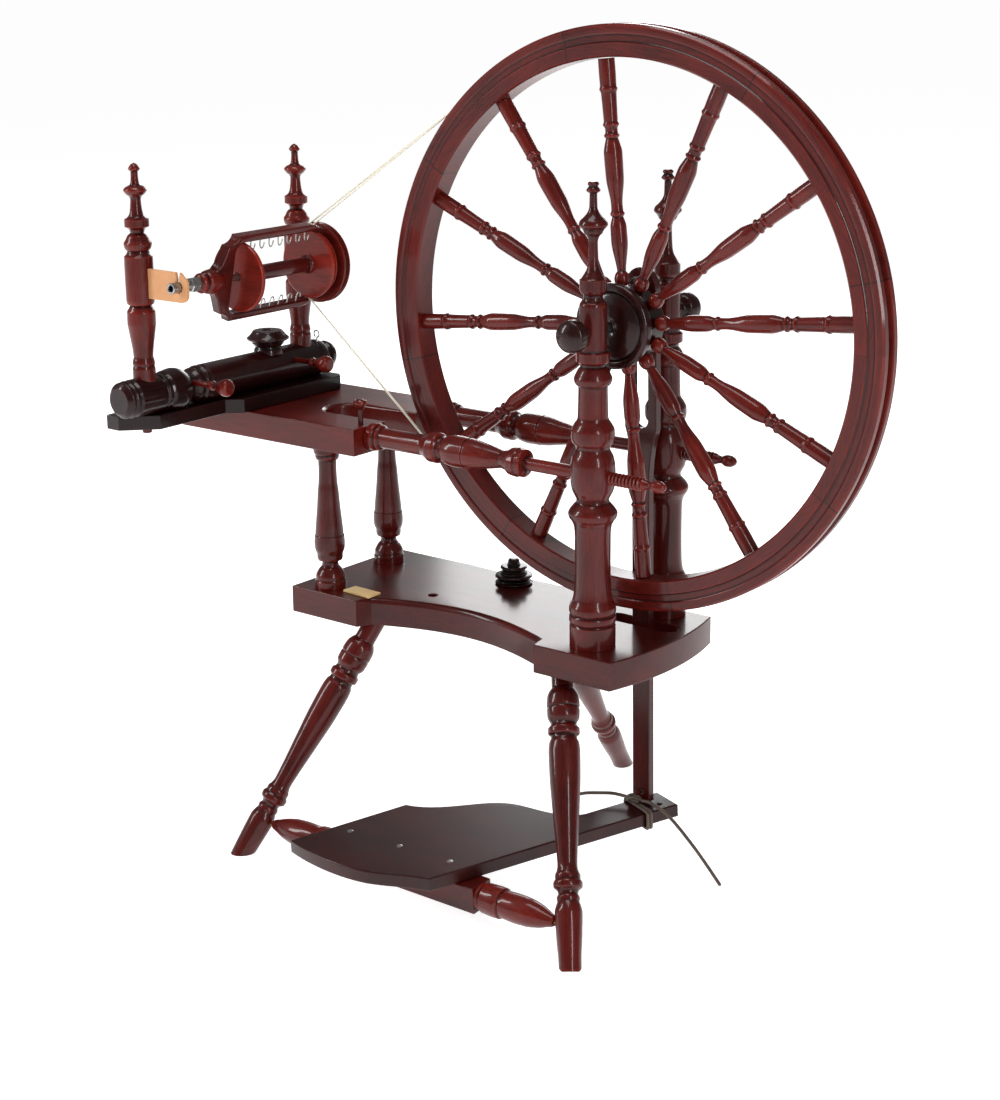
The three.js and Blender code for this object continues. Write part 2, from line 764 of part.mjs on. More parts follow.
function makeBrakePeg(name, y) {
  const profile = [
    [0, 7],
    [3.2, 7],
    [3.4, 24],
    [3.8, 44],
    [5.4, 46],
    [5.4, 49],
    [4, 51],
    [8.5, 62],
    [10.4, 68],
    [9.4, 74],
    [0, 75],
  ];
  add(name, turnedAcross(profile, 12), woods.redder, [LOG_X, y, LOG_HEIGHT + PEG_RISE]);
}

// A bright wire eye beside the far peg, that guides the brake line.
function makeEyeHook() {
  const points = [];
  const radius = 4.2;
  for (let i = 0; i <= 12; i++) {
    const angle = degrees(-80 + (325 * i) / 12);
    points.push(new THREE.Vector3(radius * Math.cos(angle), 0, 11 + radius * Math.sin(angle)));
  }
  points.unshift(new THREE.Vector3(0, 0, 4.5), new THREE.Vector3(0, 0, -5));
  const curve = new THREE.CatmullRomCurve3(points.reverse(), false, "catmullrom", 0.3);
  const wire = cordAlong(curve, 0.9, 16, 5);
  add("eye_hook", wire, steel, [LOG_X + 8, EYE_HOOK_Y, LOG_TOP - 3]);
}

// ---- flyer and bobbin ----

function makeYoke() {
  const outer = YOKE_INNER_RADIUS + YOKE_ARM_DEPTH;
  const shape = new THREE.Shape();
  const neck = 11;
  shape.moveTo(YOKE_NECK_Y, -neck);
  shape.lineTo(YOKE_NECK_Y + 14, -neck - 2);
  shape.lineTo(YOKE_BEND_Y, -outer);
  shape.lineTo(YOKE_TIP_Y, -outer);
  shape.lineTo(YOKE_TIP_Y, -YOKE_INNER_RADIUS);
  shape.lineTo(YOKE_BEND_Y + 14, -YOKE_INNER_RADIUS);
  shape.quadraticCurveTo(YOKE_BEND_Y + 4, -YOKE_INNER_RADIUS, YOKE_BEND_Y + 4, -YOKE_INNER_RADIUS + 10);
  shape.lineTo(YOKE_BEND_Y + 4, YOKE_INNER_RADIUS - 10);
  shape.quadraticCurveTo(YOKE_BEND_Y + 4, YOKE_INNER_RADIUS, YOKE_BEND_Y + 14, YOKE_INNER_RADIUS);
  shape.lineTo(YOKE_TIP_Y, YOKE_INNER_RADIUS);
  shape.lineTo(YOKE_TIP_Y, outer);
  shape.lineTo(YOKE_BEND_Y, outer);
  shape.lineTo(YOKE_NECK_Y + 14, neck + 2);
  shape.lineTo(YOKE_NECK_Y, neck);
  shape.closePath();
  const slab = new THREE.ExtrudeGeometry(shape, { depth: YOKE_ARM_WIDTH, bevelEnabled: false, curveSegments: 4 });
  slab.translate(0, 0, -YOKE_ARM_WIDTH / 2);
  slab.rotateZ(Math.PI / 2).rotateY(Math.PI / 2);
  const hole = rodAlongY(FLYER_SHAFT_RADIUS + FIT_GAP, YOKE_NECK_Y - 10, YOKE_BEND_Y + 20, 16);
  const yoke = add("flyer_yoke", cut(slab, hole), woods.mahogany, [FLYER_X, 0, FLYER_HEIGHT]);
  yoke.rotation.y = degrees(FLYER_REST_TURN);
}

// The steel spindle: a hollow orifice at the near end, a hexagon collar, then a plain shaft.
function makeSpindle() {
  const depth = 26;
  const profile = [
    [0, ORIFICE_TIP_Y + depth],
    [ORIFICE_BORE_RADIUS, ORIFICE_TIP_Y + depth],
    [ORIFICE_BORE_RADIUS, ORIFICE_TIP_Y],
    [ORIFICE_RADIUS, ORIFICE_TIP_Y],
    [ORIFICE_RADIUS, YOKE_NECK_Y - 18],
    [8.4, YOKE_NECK_Y - 18],
    [8.4, YOKE_NECK_Y - FIT_GAP],
    [FLYER_SHAFT_RADIUS, YOKE_NECK_Y - FIT_GAP],
    [FLYER_SHAFT_RADIUS, MAIDEN_FAR_Y + 7],
    [0, MAIDEN_FAR_Y + 7],
  ];
  const spindle = turned(profile, 16);
  const sideEye = rodAlongX(3, 0, 20, 10).translate(0, ORIFICE_TIP_Y + 21, 0);
  add("flyer_spindle", cut(spindle, sideEye), steel, [FLYER_X, 0, FLYER_HEIGHT]);
}

function makeWhorl() {
  const bore = FLYER_SHAFT_RADIUS + FIT_GAP;
  const groove = WHORL_NEAR_Y + 5;
  const profile = [
    [bore, WHORL_NEAR_Y],
    [WHORL_RADIUS - 1, WHORL_NEAR_Y],
    [WHORL_RADIUS, WHORL_NEAR_Y + 1],
    [WHORL_GROOVE_RADIUS, groove - 1],
    [WHORL_GROOVE_RADIUS, groove + 1],
    [WHORL_RADIUS, WHORL_FAR_Y - 1],
    [WHORL_RADIUS - 1, WHORL_FAR_Y],
    [bore, WHORL_FAR_Y],
    [bore, WHORL_NEAR_Y],
  ];
  add("flyer_whorl", turned(profile, DISC_SEGMENTS), woods.mahogany, [FLYER_X, 0, FLYER_HEIGHT]);
}

function ring(inner, outer, near, far) {
  return [
    [inner, near],
    [outer - 0.8, near],
    [outer, near + 0.8],
    [outer, far - 0.8],
    [outer - 0.8, far],
    [inner, far],
    [inner, near],
  ];
}

function makeBobbin() {
  const bore = FLYER_SHAFT_RADIUS + TURN_GAP;
  const place = [FLYER_X, 0, FLYER_HEIGHT];
  const nearEnd = BOBBIN_NEAR_Y + BOBBIN_DISC_THICKNESS;
  const farStart = BOBBIN_FAR_Y - 11;
  const near = ring(bore, BOBBIN_RADIUS, BOBBIN_NEAR_Y, nearEnd);
  add("bobbin_near_disc", turned(near, DISC_SEGMENTS), woods.redder, place);
  const core = [
    [bore, nearEnd + FIT_GAP],
    [BOBBIN_CORE_RADIUS, nearEnd + FIT_GAP],
    [BOBBIN_CORE_RADIUS, farStart - FIT_GAP],
    [bore, farStart - FIT_GAP],
    [bore, nearEnd + FIT_GAP],
  ];
  add("bobbin_core", turned(core, 18), woods.mahogany, place);
  const far = [
    [bore, farStart],
    [BOBBIN_RADIUS - 0.8, farStart],
    [BOBBIN_RADIUS, farStart + 0.8],
    [BOBBIN_RADIUS, farStart + 4],
    [BOBBIN_GROOVE_RADIUS, farStart + 6.5],
    [BOBBIN_GROOVE_RADIUS, farStart + 8.5],
    [BOBBIN_RADIUS - 3, BOBBIN_FAR_Y],
    [bore, BOBBIN_FAR_Y],
    [bore, farStart],
  ];
  add("bobbin_far_disc", turned(far, DISC_SEGMENTS), woods.redder, place);
}

// ---- drive band ----

// One round of the band: up over the wheel from below, along to the pulley, round it, and back to the wheel.
function bandRound(wheelRadius, wheelY, pulleyRadius, pulleyY) {
  const centreX = FLYER_X;
  const centreZ = FLYER_HEIGHT - AXLE_HEIGHT;
  const distance = Math.hypot(centreX, centreZ);
  const lean = Math.atan2(centreZ, centreX);
  const wrap = Math.acos((wheelRadius - pulleyRadius) / distance);
  const points = [];
  const wheelSteps = 40;
  const sweep = 2 * Math.PI - 2 * wrap;
  for (let i = 0; i <= wheelSteps; i++) {
    const angle = lean + wrap + (sweep * i) / wheelSteps;
    points.push([wheelRadius * Math.cos(angle), wheelY, wheelRadius * Math.sin(angle)]);
  }
  const pulleySteps = 8;
  for (let i = 0; i <= pulleySteps; i++) {
    const angle = lean - wrap + (2 * wrap * i) / pulleySteps;
    const x = centreX + pulleyRadius * Math.cos(angle);
    points.push([x, pulleyY, centreZ + pulleyRadius * Math.sin(angle)]);
  }
  return points.map(([x, y, z]) => new THREE.Vector3(x, y, z));
}

// A tube that closes on itself through a ring of points.
function closedTube(points, radius, sides) {
  const count = points.length;
  const side = new THREE.Vector3(0, 1, 0);
  const positions = [];
  for (let i = 0; i < count; i++) {
    const before = points[(i + count - 1) % count];
    const after = points[(i + 1) % count];
    const ahead = after.clone().sub(before).normalize();
    const out = side.clone().cross(ahead).normalize();
    const across = ahead.clone().cross(out);
    for (let k = 0; k < sides; k++) {
      const angle = (2 * Math.PI * k) / sides;
      const corner = points[i].clone();
      corner.addScaledVector(out, radius * Math.cos(angle));
      corner.addScaledVector(across, radius * Math.sin(angle));
      positions.push(corner.x, corner.y, corner.z);
    }
  }
  const index = [];
  for (let i = 0; i < count; i++) {
    for (let k = 0; k < sides; k++) {
      const a = i * sides + k;
      const b = i * sides + ((k + 1) % sides);
      const c = ((i + 1) % count) * sides + k;
      const d = ((i + 1) % count) * sides + ((k + 1) % sides);
      index.push(a, b, c, b, d, c);
    }
  }
  const geometry = new THREE.BufferGeometry();
  geometry.setAttribute("position", new THREE.Float32BufferAttribute(positions, 3));
  geometry.setIndex(index);
  geometry.setAttribute("normal", new THREE.Float32BufferAttribute(new Float32Array(positions.length), 3));
  return geometry;
}

// The band is one cord that goes round twice, once by each pulley, and crosses itself on its way back to the wheel.
function makeBand() {
  const lift = BAND_RADIUS + FIT_GAP + 0.3;
  const wheel = WHEEL_RADIUS - BAND_GROOVE_DEPTH + lift;
  const whorl = WHORL_GROOVE_RADIUS + lift;
  const bobbin = BOBBIN_GROOVE_RADIUS + lift;
  const lane = BAND_WHEEL_SHIFT;
  const first = bandRound(wheel, lane, whorl, WHORL_NEAR_Y + 5);
  const second = bandRound(wheel, -lane, bobbin, BOBBIN_FAR_Y - 3.5);
  const crossing = (from, to) => from.clone().lerp(to, BAND_CROSSING_SHARE).setY(0);
  const overFirst = crossing(first[first.length - 1], second[0]);
  const overSecond = crossing(second[second.length - 1], first[0]);
  const line = [...first, overFirst, ...second, overSecond];
  add("drive_band", closedTube(line, BAND_RADIUS, BAND_SIDES), cotton, [0, 0, AXLE_HEIGHT]);
}

// ---- treadle and footman ----

const treadle = new THREE.Group();

function addToTreadle(name, geometry, material, place = [0, 0, 0]) {
  const mesh = add(name, geometry, material, place);
  treadle.add(mesh);
  return mesh;
}

function treadleOutline() {
  const shape = new THREE.Shape();
  shape.moveTo(-266, -60);
  shape.bezierCurveTo(-235, -70, -185, -76, -150, -68);
  shape.bezierCurveTo(-124, -61, -108, -49, -82, -44);
  shape.lineTo(41, 239);
  shape.lineTo(5, 252);
  shape.lineTo(-32, 166);
  shape.bezierCurveTo(-46, 144, -75, 147, -105, 144);
  shape.bezierCurveTo(-150, 140, -163, 84, -215, 75);
  shape.closePath();
  return shape;
}

const TREADLE_LOW = TREADLE_BAR_SIZE / 2 + FIT_GAP;
const SCREW_PLACES = [
  [-225, -8],
  [-156, -5],
  [-88, -2],
];

function makeTreadle() {
  const plain = board(treadleOutline(), TREADLE_LOW, TREADLE_LOW + TREADLE_THICKNESS);
  const top = TREADLE_LOW + TREADLE_THICKNESS;
  const tools = [];
  for (const [x, y] of SCREW_PLACES) {
    tools.push(rodAlongZ(2.2 + FIT_GAP, -2, top + 1, 8).translate(x, y, 0));
    tools.push(rodAlongZ(4.6 + FIT_GAP, top - 2.6 - FIT_GAP, top + 1, 12).translate(x, y, 0));
  }
  for (const [x, y] of [
    [8, 234],
    [24, 228],
  ]) {
    tools.push(rodAlongZ(2.4, -2, top + 5, 8).translate(x, y, 0));
  }
  addToTreadle("treadle_board", cut(plain, ...tools), woods.mahogany);
  SCREW_PLACES.forEach(([x, y], i) => makeScrew("treadle_screw_" + (i + 1), x, y, top));
}

function makeScrew(name, x, y, top) {
  const profile = [
    [0, -TREADLE_LOW + 4],
    [2.2, -TREADLE_LOW + 5],
    [2.2, top - 2.6],
    [4.6, top - 2.6],
    [4.6, top - 0.6],
    [3, top],
    [0, top],
  ];
  addToTreadle(name, turnedUp(profile, 10), steel, [x, y, 0]);
}

function makeTreadleBar() {
  const size = TREADLE_BAR_SIZE;
  const squareLeft = -276;
  const squareRight = -20;
  const square = block(squareRight - squareLeft, size, size, (squareLeft + squareRight) / 2, 0, 0);
  const round = [
    [0, TREADLE_BAR_LEFT_X],
    [4.5, TREADLE_BAR_LEFT_X],
    [12, TREADLE_BAR_LEFT_X + 18],
    [15.6, TREADLE_BAR_LEFT_X + 42],
    [15, squareLeft + 4],
    [15, squareRight - 4],
    [15.6, TREADLE_BAR_RIGHT_X - 42],
    [12, TREADLE_BAR_RIGHT_X - 18],
    [4.5, TREADLE_BAR_RIGHT_X],
    [0, TREADLE_BAR_RIGHT_X],
  ];
  const grooves = [ringCut(17, 40, -48, -41), ringCut(17, 40, -255, -248)];
  const left = rodAlongX(PIVOT_PIN_RADIUS + FIT_GAP, TREADLE_BAR_LEFT_X - 2, TREADLE_BAR_LEFT_X + 16, 12);
  const right = rodAlongX(PIVOT_PIN_RADIUS + FIT_GAP, TREADLE_BAR_RIGHT_X - 16, TREADLE_BAR_RIGHT_X + 2, 12);
  const screwHoles = SCREW_PLACES.map(([x, y]) =>
    rodAlongZ(2.2 + FIT_GAP, -TREADLE_LOW + 3, size, 8).translate(x, y, 0),
  );
  const whole = join(square, turnedAcross(round, 14));
  addToTreadle("treadle_bar", cut(whole, ...grooves, left, right, ...screwHoles), woods.redder);
}

function ringCut(inner, outer, fromX, toX) {
  const profile = [
    [inner, fromX],
    [outer, fromX],
    [outer, toX],
    [inner, toX],
    [inner, fromX],
  ];
  return turnedAcross(profile, 24);
}

function makePivotPins() {
  const inside = 14;
  const outside = 4 + PIVOT_PIN_IN_LEG - FIT_GAP;
  const left = rodAlongX(PIVOT_PIN_RADIUS, TREADLE_BAR_LEFT_X - outside, TREADLE_BAR_LEFT_X + inside, 12);
  const right = rodAlongX(PIVOT_PIN_RADIUS, TREADLE_BAR_RIGHT_X - inside, TREADLE_BAR_RIGHT_X + outside, 12);
  addToTreadle("pivot_pin_left", left, brass);
  addToTreadle("pivot_pin_right", right, brass);
}

const LEVER_TIE = [14, 226];
const LACE_AHEAD = 16;

// Where a point of the treadle stands once the treadle is tilted to rest.
function atRest(x, y, z) {
  const tilt = degrees(TREADLE_REST_TILT);
  const restY = TREADLE_AXIS_Y + y * Math.cos(tilt) - z * Math.sin(tilt);
  const restZ = TREADLE_AXIS_HEIGHT + y * Math.sin(tilt) + z * Math.cos(tilt);
  return new THREE.Vector3(x, restY, restZ);
}

function makeFootman() {
  const tie = atRest(LEVER_TIE[0], LEVER_TIE[1], TREADLE_LOW + TREADLE_THICKNESS);
  const bottom = tie.z + 2;
  const eyeLow = AXLE_HEIGHT - FOOTMAN_EYE_BELOW_AXLE;
  const eyeHigh = AXLE_HEIGHT + FOOTMAN_EYE_ABOVE_AXLE;
  const half = FOOTMAN_WIDTH / 2;
  const headHalf = FOOTMAN_HEAD_WIDTH / 2;
  const headTop = AXLE_HEIGHT + CRANK_RADIUS + 16;
  const leanPerHeight = (FOOTMAN_HEAD_X - FOOTMAN_FOOT_X) / (headTop - bottom);
  const middle = (z) => FOOTMAN_FOOT_X + leanPerHeight * (z - bottom);
  const shape = new THREE.Shape();
  shape.moveTo(middle(bottom) - half, bottom);
  shape.lineTo(middle(bottom) + half, bottom);
  shape.lineTo(middle(eyeLow - 60) + half, eyeLow - 60);
  shape.quadraticCurveTo(middle(eyeLow) + half, eyeLow - 22, middle(eyeLow) + headHalf, eyeLow);
  shape.lineTo(middle(eyeHigh) + headHalf, eyeHigh);
  shape.quadraticCurveTo(middle(headTop) + headHalf, headTop, middle(headTop), headTop);
  shape.quadraticCurveTo(middle(headTop) - headHalf, headTop, middle(eyeHigh) - headHalf, eyeHigh);
  shape.lineTo(middle(eyeLow) - headHalf, eyeLow);
  shape.quadraticCurveTo(middle(eyeLow) - half, eyeLow - 22, middle(eyeLow - 60) - half, eyeLow - 60);
  shape.closePath();
  const eye = new THREE.Path();
  const eyeHalf = FOOTMAN_EYE_WIDTH / 2;
  eye.moveTo(middle(eyeLow) - eyeHalf, eyeLow + eyeHalf);
  eye.absarc(middle(eyeLow), eyeLow + eyeHalf, eyeHalf, Math.PI, 2 * Math.PI, false);
  eye.lineTo(middle(eyeHigh) + eyeHalf, eyeHigh - eyeHalf);
  eye.absarc(middle(eyeHigh), eyeHigh - eyeHalf, eyeHalf, 0, Math.PI, false);
  eye.closePath();
  shape.holes.push(eye);
  const bar = new THREE.ExtrudeGeometry(shape, {
    depth: FOOTMAN_THICKNESS,
    bevelEnabled: false,
    curveSegments: 6,
  });
  bar.rotateX(Math.PI / 2).translate(0, FOOTMAN_NEAR_Y + FOOTMAN_THICKNESS, 0);
  const laceHole = rodAlongY(LACE_RADIUS + 0.6, FOOTMAN_NEAR_Y - 5, FOOTMAN_NEAR_Y + 20, 10);
  laceHole.translate(FOOTMAN_FOOT_X, 0, bottom + 10);
  add("footman", cut(bar, laceHole), woods.mahogany);
}

// ---- the lace that ties the footman to the lever ----

// One turn of lace round the lever, with the knot above it.
function makeLace() {
  const radius = LACE_RADIUS;
  const gap = radius + FIT_GAP + 0.2;
  const [tieX, tieY] = LEVER_TIE;
  const halfWide = 20 + gap;
  const low = TREADLE_LOW - gap;
  const high = TREADLE_LOW + TREADLE_THICKNESS + gap;
  const corner = 3;
  const ringPoints = [];
  const spots = [
    [halfWide - corner, low, -90],
    [halfWide - corner, high, 0],
    [-halfWide + corner, high, 90],
    [-halfWide + corner, low, 180],
  ];
  for (const [u, w, from] of spots) {
    const centreW = w === low ? low + corner : high - corner;
    for (let i = 0; i <= 3; i++) {
      const angle = degrees(from + 30 * i);
      ringPoints.push([u + corner * Math.cos(angle), centreW + corner * Math.sin(angle)]);
    }
  }
  const ringLine = ringPoints.map(([u, w]) => new THREE.Vector3(u, 0, w));
  const turn = closedTube(ringLine, radius, 6);
  const knot = new THREE.SphereGeometry(5.2, 10, 7).scale(1.5, 0.8, 0.85).translate(-7, -1.5, high + 2.6);
  const lace = join(turn, knot).rotateZ(degrees(-22));
  addToTreadle("lace_knot", lace, laceLeather, [tieX - 6.2, tieY - LACE_AHEAD, 0]);
}

function makeLaceTail(name, points) {
  const line = points.map(([x, y, z]) => new THREE.Vector3(x, y, z));
  const curve = new THREE.CatmullRomCurve3(line);
  add(name, cordAlong(curve, LACE_RADIUS, 14, 8), laceLeather);
}

// ---- small parts ----

function makeNamePlate() {
  const [x, y, z] = NAME_PLATE_SIZE;
  const plate = block(x, y, z - FIT_GAP, 0, 0, FIT_GAP + (z - FIT_GAP) / 2);
  const mesh = add("name_plate", plate, paleWood, [-315, -70, BOARD_TOP]);
  mesh.rotation.z = degrees(-3);
}

function makeLockPeg() {
  const profile = [
    [0, -13],
    [3.2, -13],
    [3.2, 2],
    [3.4, 17],
    [4, 19],
    [7.6, 24],
    [7.8, 27],
    [6, 29],
    [0, 29.5],
  ];
  const [x, y] = LOCK_PEG_PLACE;
  add("lock_peg", turnedUp(profile, 12), woods.redder, [x, y, TABLE_TOP]);
}

// A spare drive whorl standing on the board, with its two grooves.
function makeSpareWhorl() {
  const profile = [
    [0, FIT_GAP],
    [20, FIT_GAP],
    [21.6, 1.5],
    [18.6, 5.5],
    [21.6, 9.5],
    [20, 11.5],
    [15.4, 13],
    [13.4, 16],
    [15.4, 19],
    [14, 21],
    [7, 24],
    [6, 29],
    [0, 30],
  ];
  const [x, y] = SPARE_WHORL_PLACE;
  add("spare_whorl", turnedUp(profile, 16), woods.darker, [x, y, BOARD_TOP]);
}

// ---- put together ----

makeRim();
makeSpokes();
makeHub();
makeAxle();
makeBaseBoard();
makeLeg("leg_near_left", LEG_NEAR_LEFT);
makeLeg("leg_near_right", LEG_NEAR_RIGHT);
makeLeg("leg_far", LEG_FAR);
makeBaluster("baluster_near", BALUSTER_NEAR);
makeBaluster("baluster_far", BALUSTER_FAR);
makeTable();
makePost("wheel_post_near", POST_NEAR_Y);
makePost("wheel_post_far", POST_FAR_Y);
makeAxleKnob("axle_knob_near", POST_NEAR_Y, -1);
makeAxleKnob("axle_knob_far", POST_FAR_Y, 1);
makeArm("arm_near", POST_NEAR_Y);
makeArm("arm_far", POST_FAR_Y);
makeLogPlate();
makeLog();
makeMaiden("maiden_near", MAIDEN_NEAR_Y);
makeMaiden("maiden_far", MAIDEN_FAR_Y);
makeLeather("leather_near", MAIDEN_NEAR_Y);
makeLeather("leather_far", MAIDEN_FAR_Y);
makeTensionKnob();
makeBrakePeg("brake_peg_near", NEAR_PEG_Y);
makeBrakePeg("brake_peg_far", FAR_PEG_Y);
makeEyeHook();
makeYoke();
makeSpindle();
makeWhorl();
makeBobbin();
makeBand();
makeTreadle();
makeTreadleBar();
makePivotPins();
makeFootman();
makeLace();
makeNamePlate();
makeLockPeg();
makeSpareWhorl();

treadle.position.set(0, TREADLE_AXIS_Y, TREADLE_AXIS_HEIGHT);
treadle.rotation.x = degrees(TREADLE_REST_TILT);
wheelThings.add(treadle);

// The origin is on the floor, at the middle of the whole wheel's footprint, lace tails left out.
const group = new THREE.Group();
group.add(wheelThings);
const box = new THREE.Box3().setFromObject(wheelThings, true);
wheelThings.position.set(-(box.min.x + box.max.x) / 2, -(box.min.y + box.max.y) / 2, -box.min.z);

const knotAt = atRest(1, 211, TREADLE_LOW + TREADLE_THICKNESS + 5);
makeLaceTail("lace_tail_left", [
  [knotAt.x - 10, knotAt.y, knotAt.z + 3],
  [knotAt.x - 25, knotAt.y - 4, knotAt.z + 4],
  [knotAt.x - 40, knotAt.y - 11, knotAt.z + 3],
  [knotAt.x - 54, knotAt.y - 17, knotAt.z + 1],
  [knotAt.x - 65, knotAt.y - 23, knotAt.z - 3],
]);
makeLaceTail("lace_tail_right", [
  [knotAt.x + 10.5, knotAt.y, knotAt.z + 3],
  [knotAt.x + 26, knotAt.y - 1, knotAt.z + 3.5],
  [knotAt.x + 50, knotAt.y - 2, knotAt.z - 6],
  [knotAt.x + 86, knotAt.y - 6, knotAt.z - 32],
  [knotAt.x + 122, knotAt.y - 12, knotAt.z - 62],
]);

export default group;
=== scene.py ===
# A double-drive spinning wheel: turned, mahogany-stained and lacquered hardwood, with a leather-hung flyer,
# a cotton drive band and a leather lace. Lengths in the sections are millimetres; every piece is placed
# from the wheel's axle.
import math

import bmesh
import bpy
from mathutils import Matrix, Vector


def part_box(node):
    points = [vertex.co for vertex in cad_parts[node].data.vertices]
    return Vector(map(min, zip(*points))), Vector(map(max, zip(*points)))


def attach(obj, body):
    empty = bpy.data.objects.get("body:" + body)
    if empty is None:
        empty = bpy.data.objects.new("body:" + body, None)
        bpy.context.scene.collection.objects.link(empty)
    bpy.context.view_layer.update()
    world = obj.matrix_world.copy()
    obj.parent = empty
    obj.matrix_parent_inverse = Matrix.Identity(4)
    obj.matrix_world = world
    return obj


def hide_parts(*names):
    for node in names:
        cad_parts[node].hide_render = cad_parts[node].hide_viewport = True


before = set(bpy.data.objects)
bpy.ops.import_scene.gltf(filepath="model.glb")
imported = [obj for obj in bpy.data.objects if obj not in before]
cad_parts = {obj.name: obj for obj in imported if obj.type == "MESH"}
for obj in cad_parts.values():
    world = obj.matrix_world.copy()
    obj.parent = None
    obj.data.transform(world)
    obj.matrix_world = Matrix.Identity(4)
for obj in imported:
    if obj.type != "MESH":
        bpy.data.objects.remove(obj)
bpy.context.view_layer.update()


# ---- camera ----
# It stands in front of the wheel and to its right, level with the table, and looks a little down on the
# base.
MM = 0.001
rim_low, rim_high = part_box("rim")
AXLE = (rim_low + rim_high) / 2
FLOOR = -AXLE.z / MM


def spot(x, y, z):
    """The point that lies so many millimetres from the middle of the wheel."""
    return AXLE + Vector((x, y, z)) * MM


camera = bpy.data.objects.new("camera", bpy.data.cameras.new("camera"))
bpy.context.scene.collection.objects.link(camera)
bpy.context.scene.camera = camera
CAMERA_TURN, CAMERA_DIP, CAMERA_ROLL = 39.957, 14.078, -0.969
turn = Matrix.Rotation(math.radians(CAMERA_TURN), 4, "Z")
dip = Matrix.Rotation(math.radians(90 - CAMERA_DIP), 4, "X")
roll = Matrix.Rotation(math.radians(CAMERA_ROLL), 4, "Z")
camera.matrix_world = Matrix.Translation(spot(1216.4, -1761.8, 385)) @ turn @ dip @ roll
camera.data.sensor_width = 36
camera.data.lens = 68.17
camera.data.shift_x = 0.0582
camera.data.shift_y = -0.0764
camera.data.clip_end = 50


# ---- studio ----
# A white room: a pale matt floor that glows a little, an even sky, and soft lamps whose reflections draw the
# lacquer.
def linear(colour):
    """An sRGB hex colour as the linear values that shaders take."""
    channels = [int(colour[i : i + 2], 16) / 255 for i in (1, 3, 5)]
    return [c / 12.92 if c <= 0.04045 else ((c + 0.055) / 1.055) ** 2.4 for c in channels] + [1.0]


bpy.context.scene.view_settings.view_transform = "Standard"
sky = bpy.data.worlds.new("white_room")
bpy.context.scene.world = sky
sky.use_nodes = True
room = sky.node_tree.nodes["Background"]
room.inputs["Color"].default_value = linear("#ffffff")
seen = sky.node_tree.nodes.new("ShaderNodeLightPath")
# The wall in view is white, and the one that lights the pieces is dimmer, so that the lacquer stays deep.
brightness = sky.node_tree.nodes.new("ShaderNodeMapRange")
brightness.inputs["To Min"].default_value = 0.2
brightness.inputs["To Max"].default_value = 1.0
sky.node_tree.links.new(seen.outputs["Is Camera Ray"], brightness.inputs["Value"])
sky.node_tree.links.new(brightness.outputs["Result"], room.inputs["Strength"])

floor_shape = bmesh.new()
bmesh.ops.create_grid(floor_shape, x_segments=4, y_segments=4, size=40)
floor = bpy.data.objects.new("studio_floor", bpy.data.meshes.new("studio_floor"))
floor_shape.to_mesh(floor.data)
floor_shape.free()
floor.location = (0, 0, -0.0005)
bpy.context.scene.collection.objects.link(floor)
floor_paint = bpy.data.materials.new("matt_white_floor")
floor_paint.use_nodes = True
floor_paint.node_tree.nodes["Principled BSDF"].inputs["Base Color"].default_value = linear("#f4f4f4")
floor_paint.node_tree.nodes["Principled BSDF"].inputs["Roughness"].default_value = 0.9
floor_paint.node_tree.nodes["Principled BSDF"].inputs["Specular IOR Level"].default_value = 0.1
floor_paint.node_tree.nodes["Principled BSDF"].inputs["Emission Color"].default_value = linear("#ffffff")
floor_paint.node_tree.nodes["Principled BSDF"].inputs["Emission Strength"].default_value = 0.8
floor.data.materials.append(floor_paint)

# name, place in metres from the axle, size, watts
LAMPS = [
    ("lamp_left", (-2.6, -2.0, 1.3), (0.5, 2.0), 62),
    ("lamp_right", (2.7, -1.3, 0.9), (0.4, 2.0), 46),
    ("lamp_above", (-0.2, -0.4, 2.6), (1.8, 1.0), 40),
    ("lamp_behind", (-1.6, 3.4, 0.9), (2.4, 1.0), 45),
]
for name, place, size, watts in LAMPS:
    lamp = bpy.data.objects.new(name, bpy.data.lights.new(name, "AREA"))
    lamp.data.shape = "RECTANGLE"
    lamp.data.size, lamp.data.size_y = size
    lamp.data.energy = watts
    lamp.location = AXLE + Vector(place)
    aim = Vector((-0.1, 0, -0.2)) - Vector(place)
    lamp.rotation_mode = "QUATERNION"
    lamp.rotation_quaternion = aim.to_track_quat("-Z", "Y")
    lamp.visible_camera = False
    bpy.context.scene.collection.objects.link(lamp)


# ---- leather lace ----
# One thin, stiff, grey-brown leather lace ties the treadle's lever to the footman. It goes twice round the
# lever, and its two ends stand out of the knot in front of the footman.
def add_node(tree, kind, inputs=(), **settings):
    """Adds a shader node with its settings, and links or sets its inputs, given as (input, value) pairs."""
    made = tree.nodes.new("ShaderNode" + kind)
    for key, value in settings.items():
        setattr(made, key, value)
    for key, value in inputs:
        if isinstance(value, bpy.types.NodeSocket):
            tree.links.new(value, made.inputs[key])
        else:
            made.inputs[key].default_value = value
    return made


def blend(tree, share, first, second):
    """The first colour turned into the second by the share."""
    return add_node(tree, "Mix", [(0, share), (6, first), (7, second)], data_type="RGBA").outputs[2]


def new_material(name):
    """A material, its node tree, its shader, and the place on the piece, on which patterns are drawn."""
    material = bpy.data.materials.new(name)
    material.use_nodes = True
    tree = material.node_tree
    shader = tree.nodes["Principled BSDF"]
    place = add_node(tree, "TexCoord").outputs["Object"]
    return material, tree, shader, place


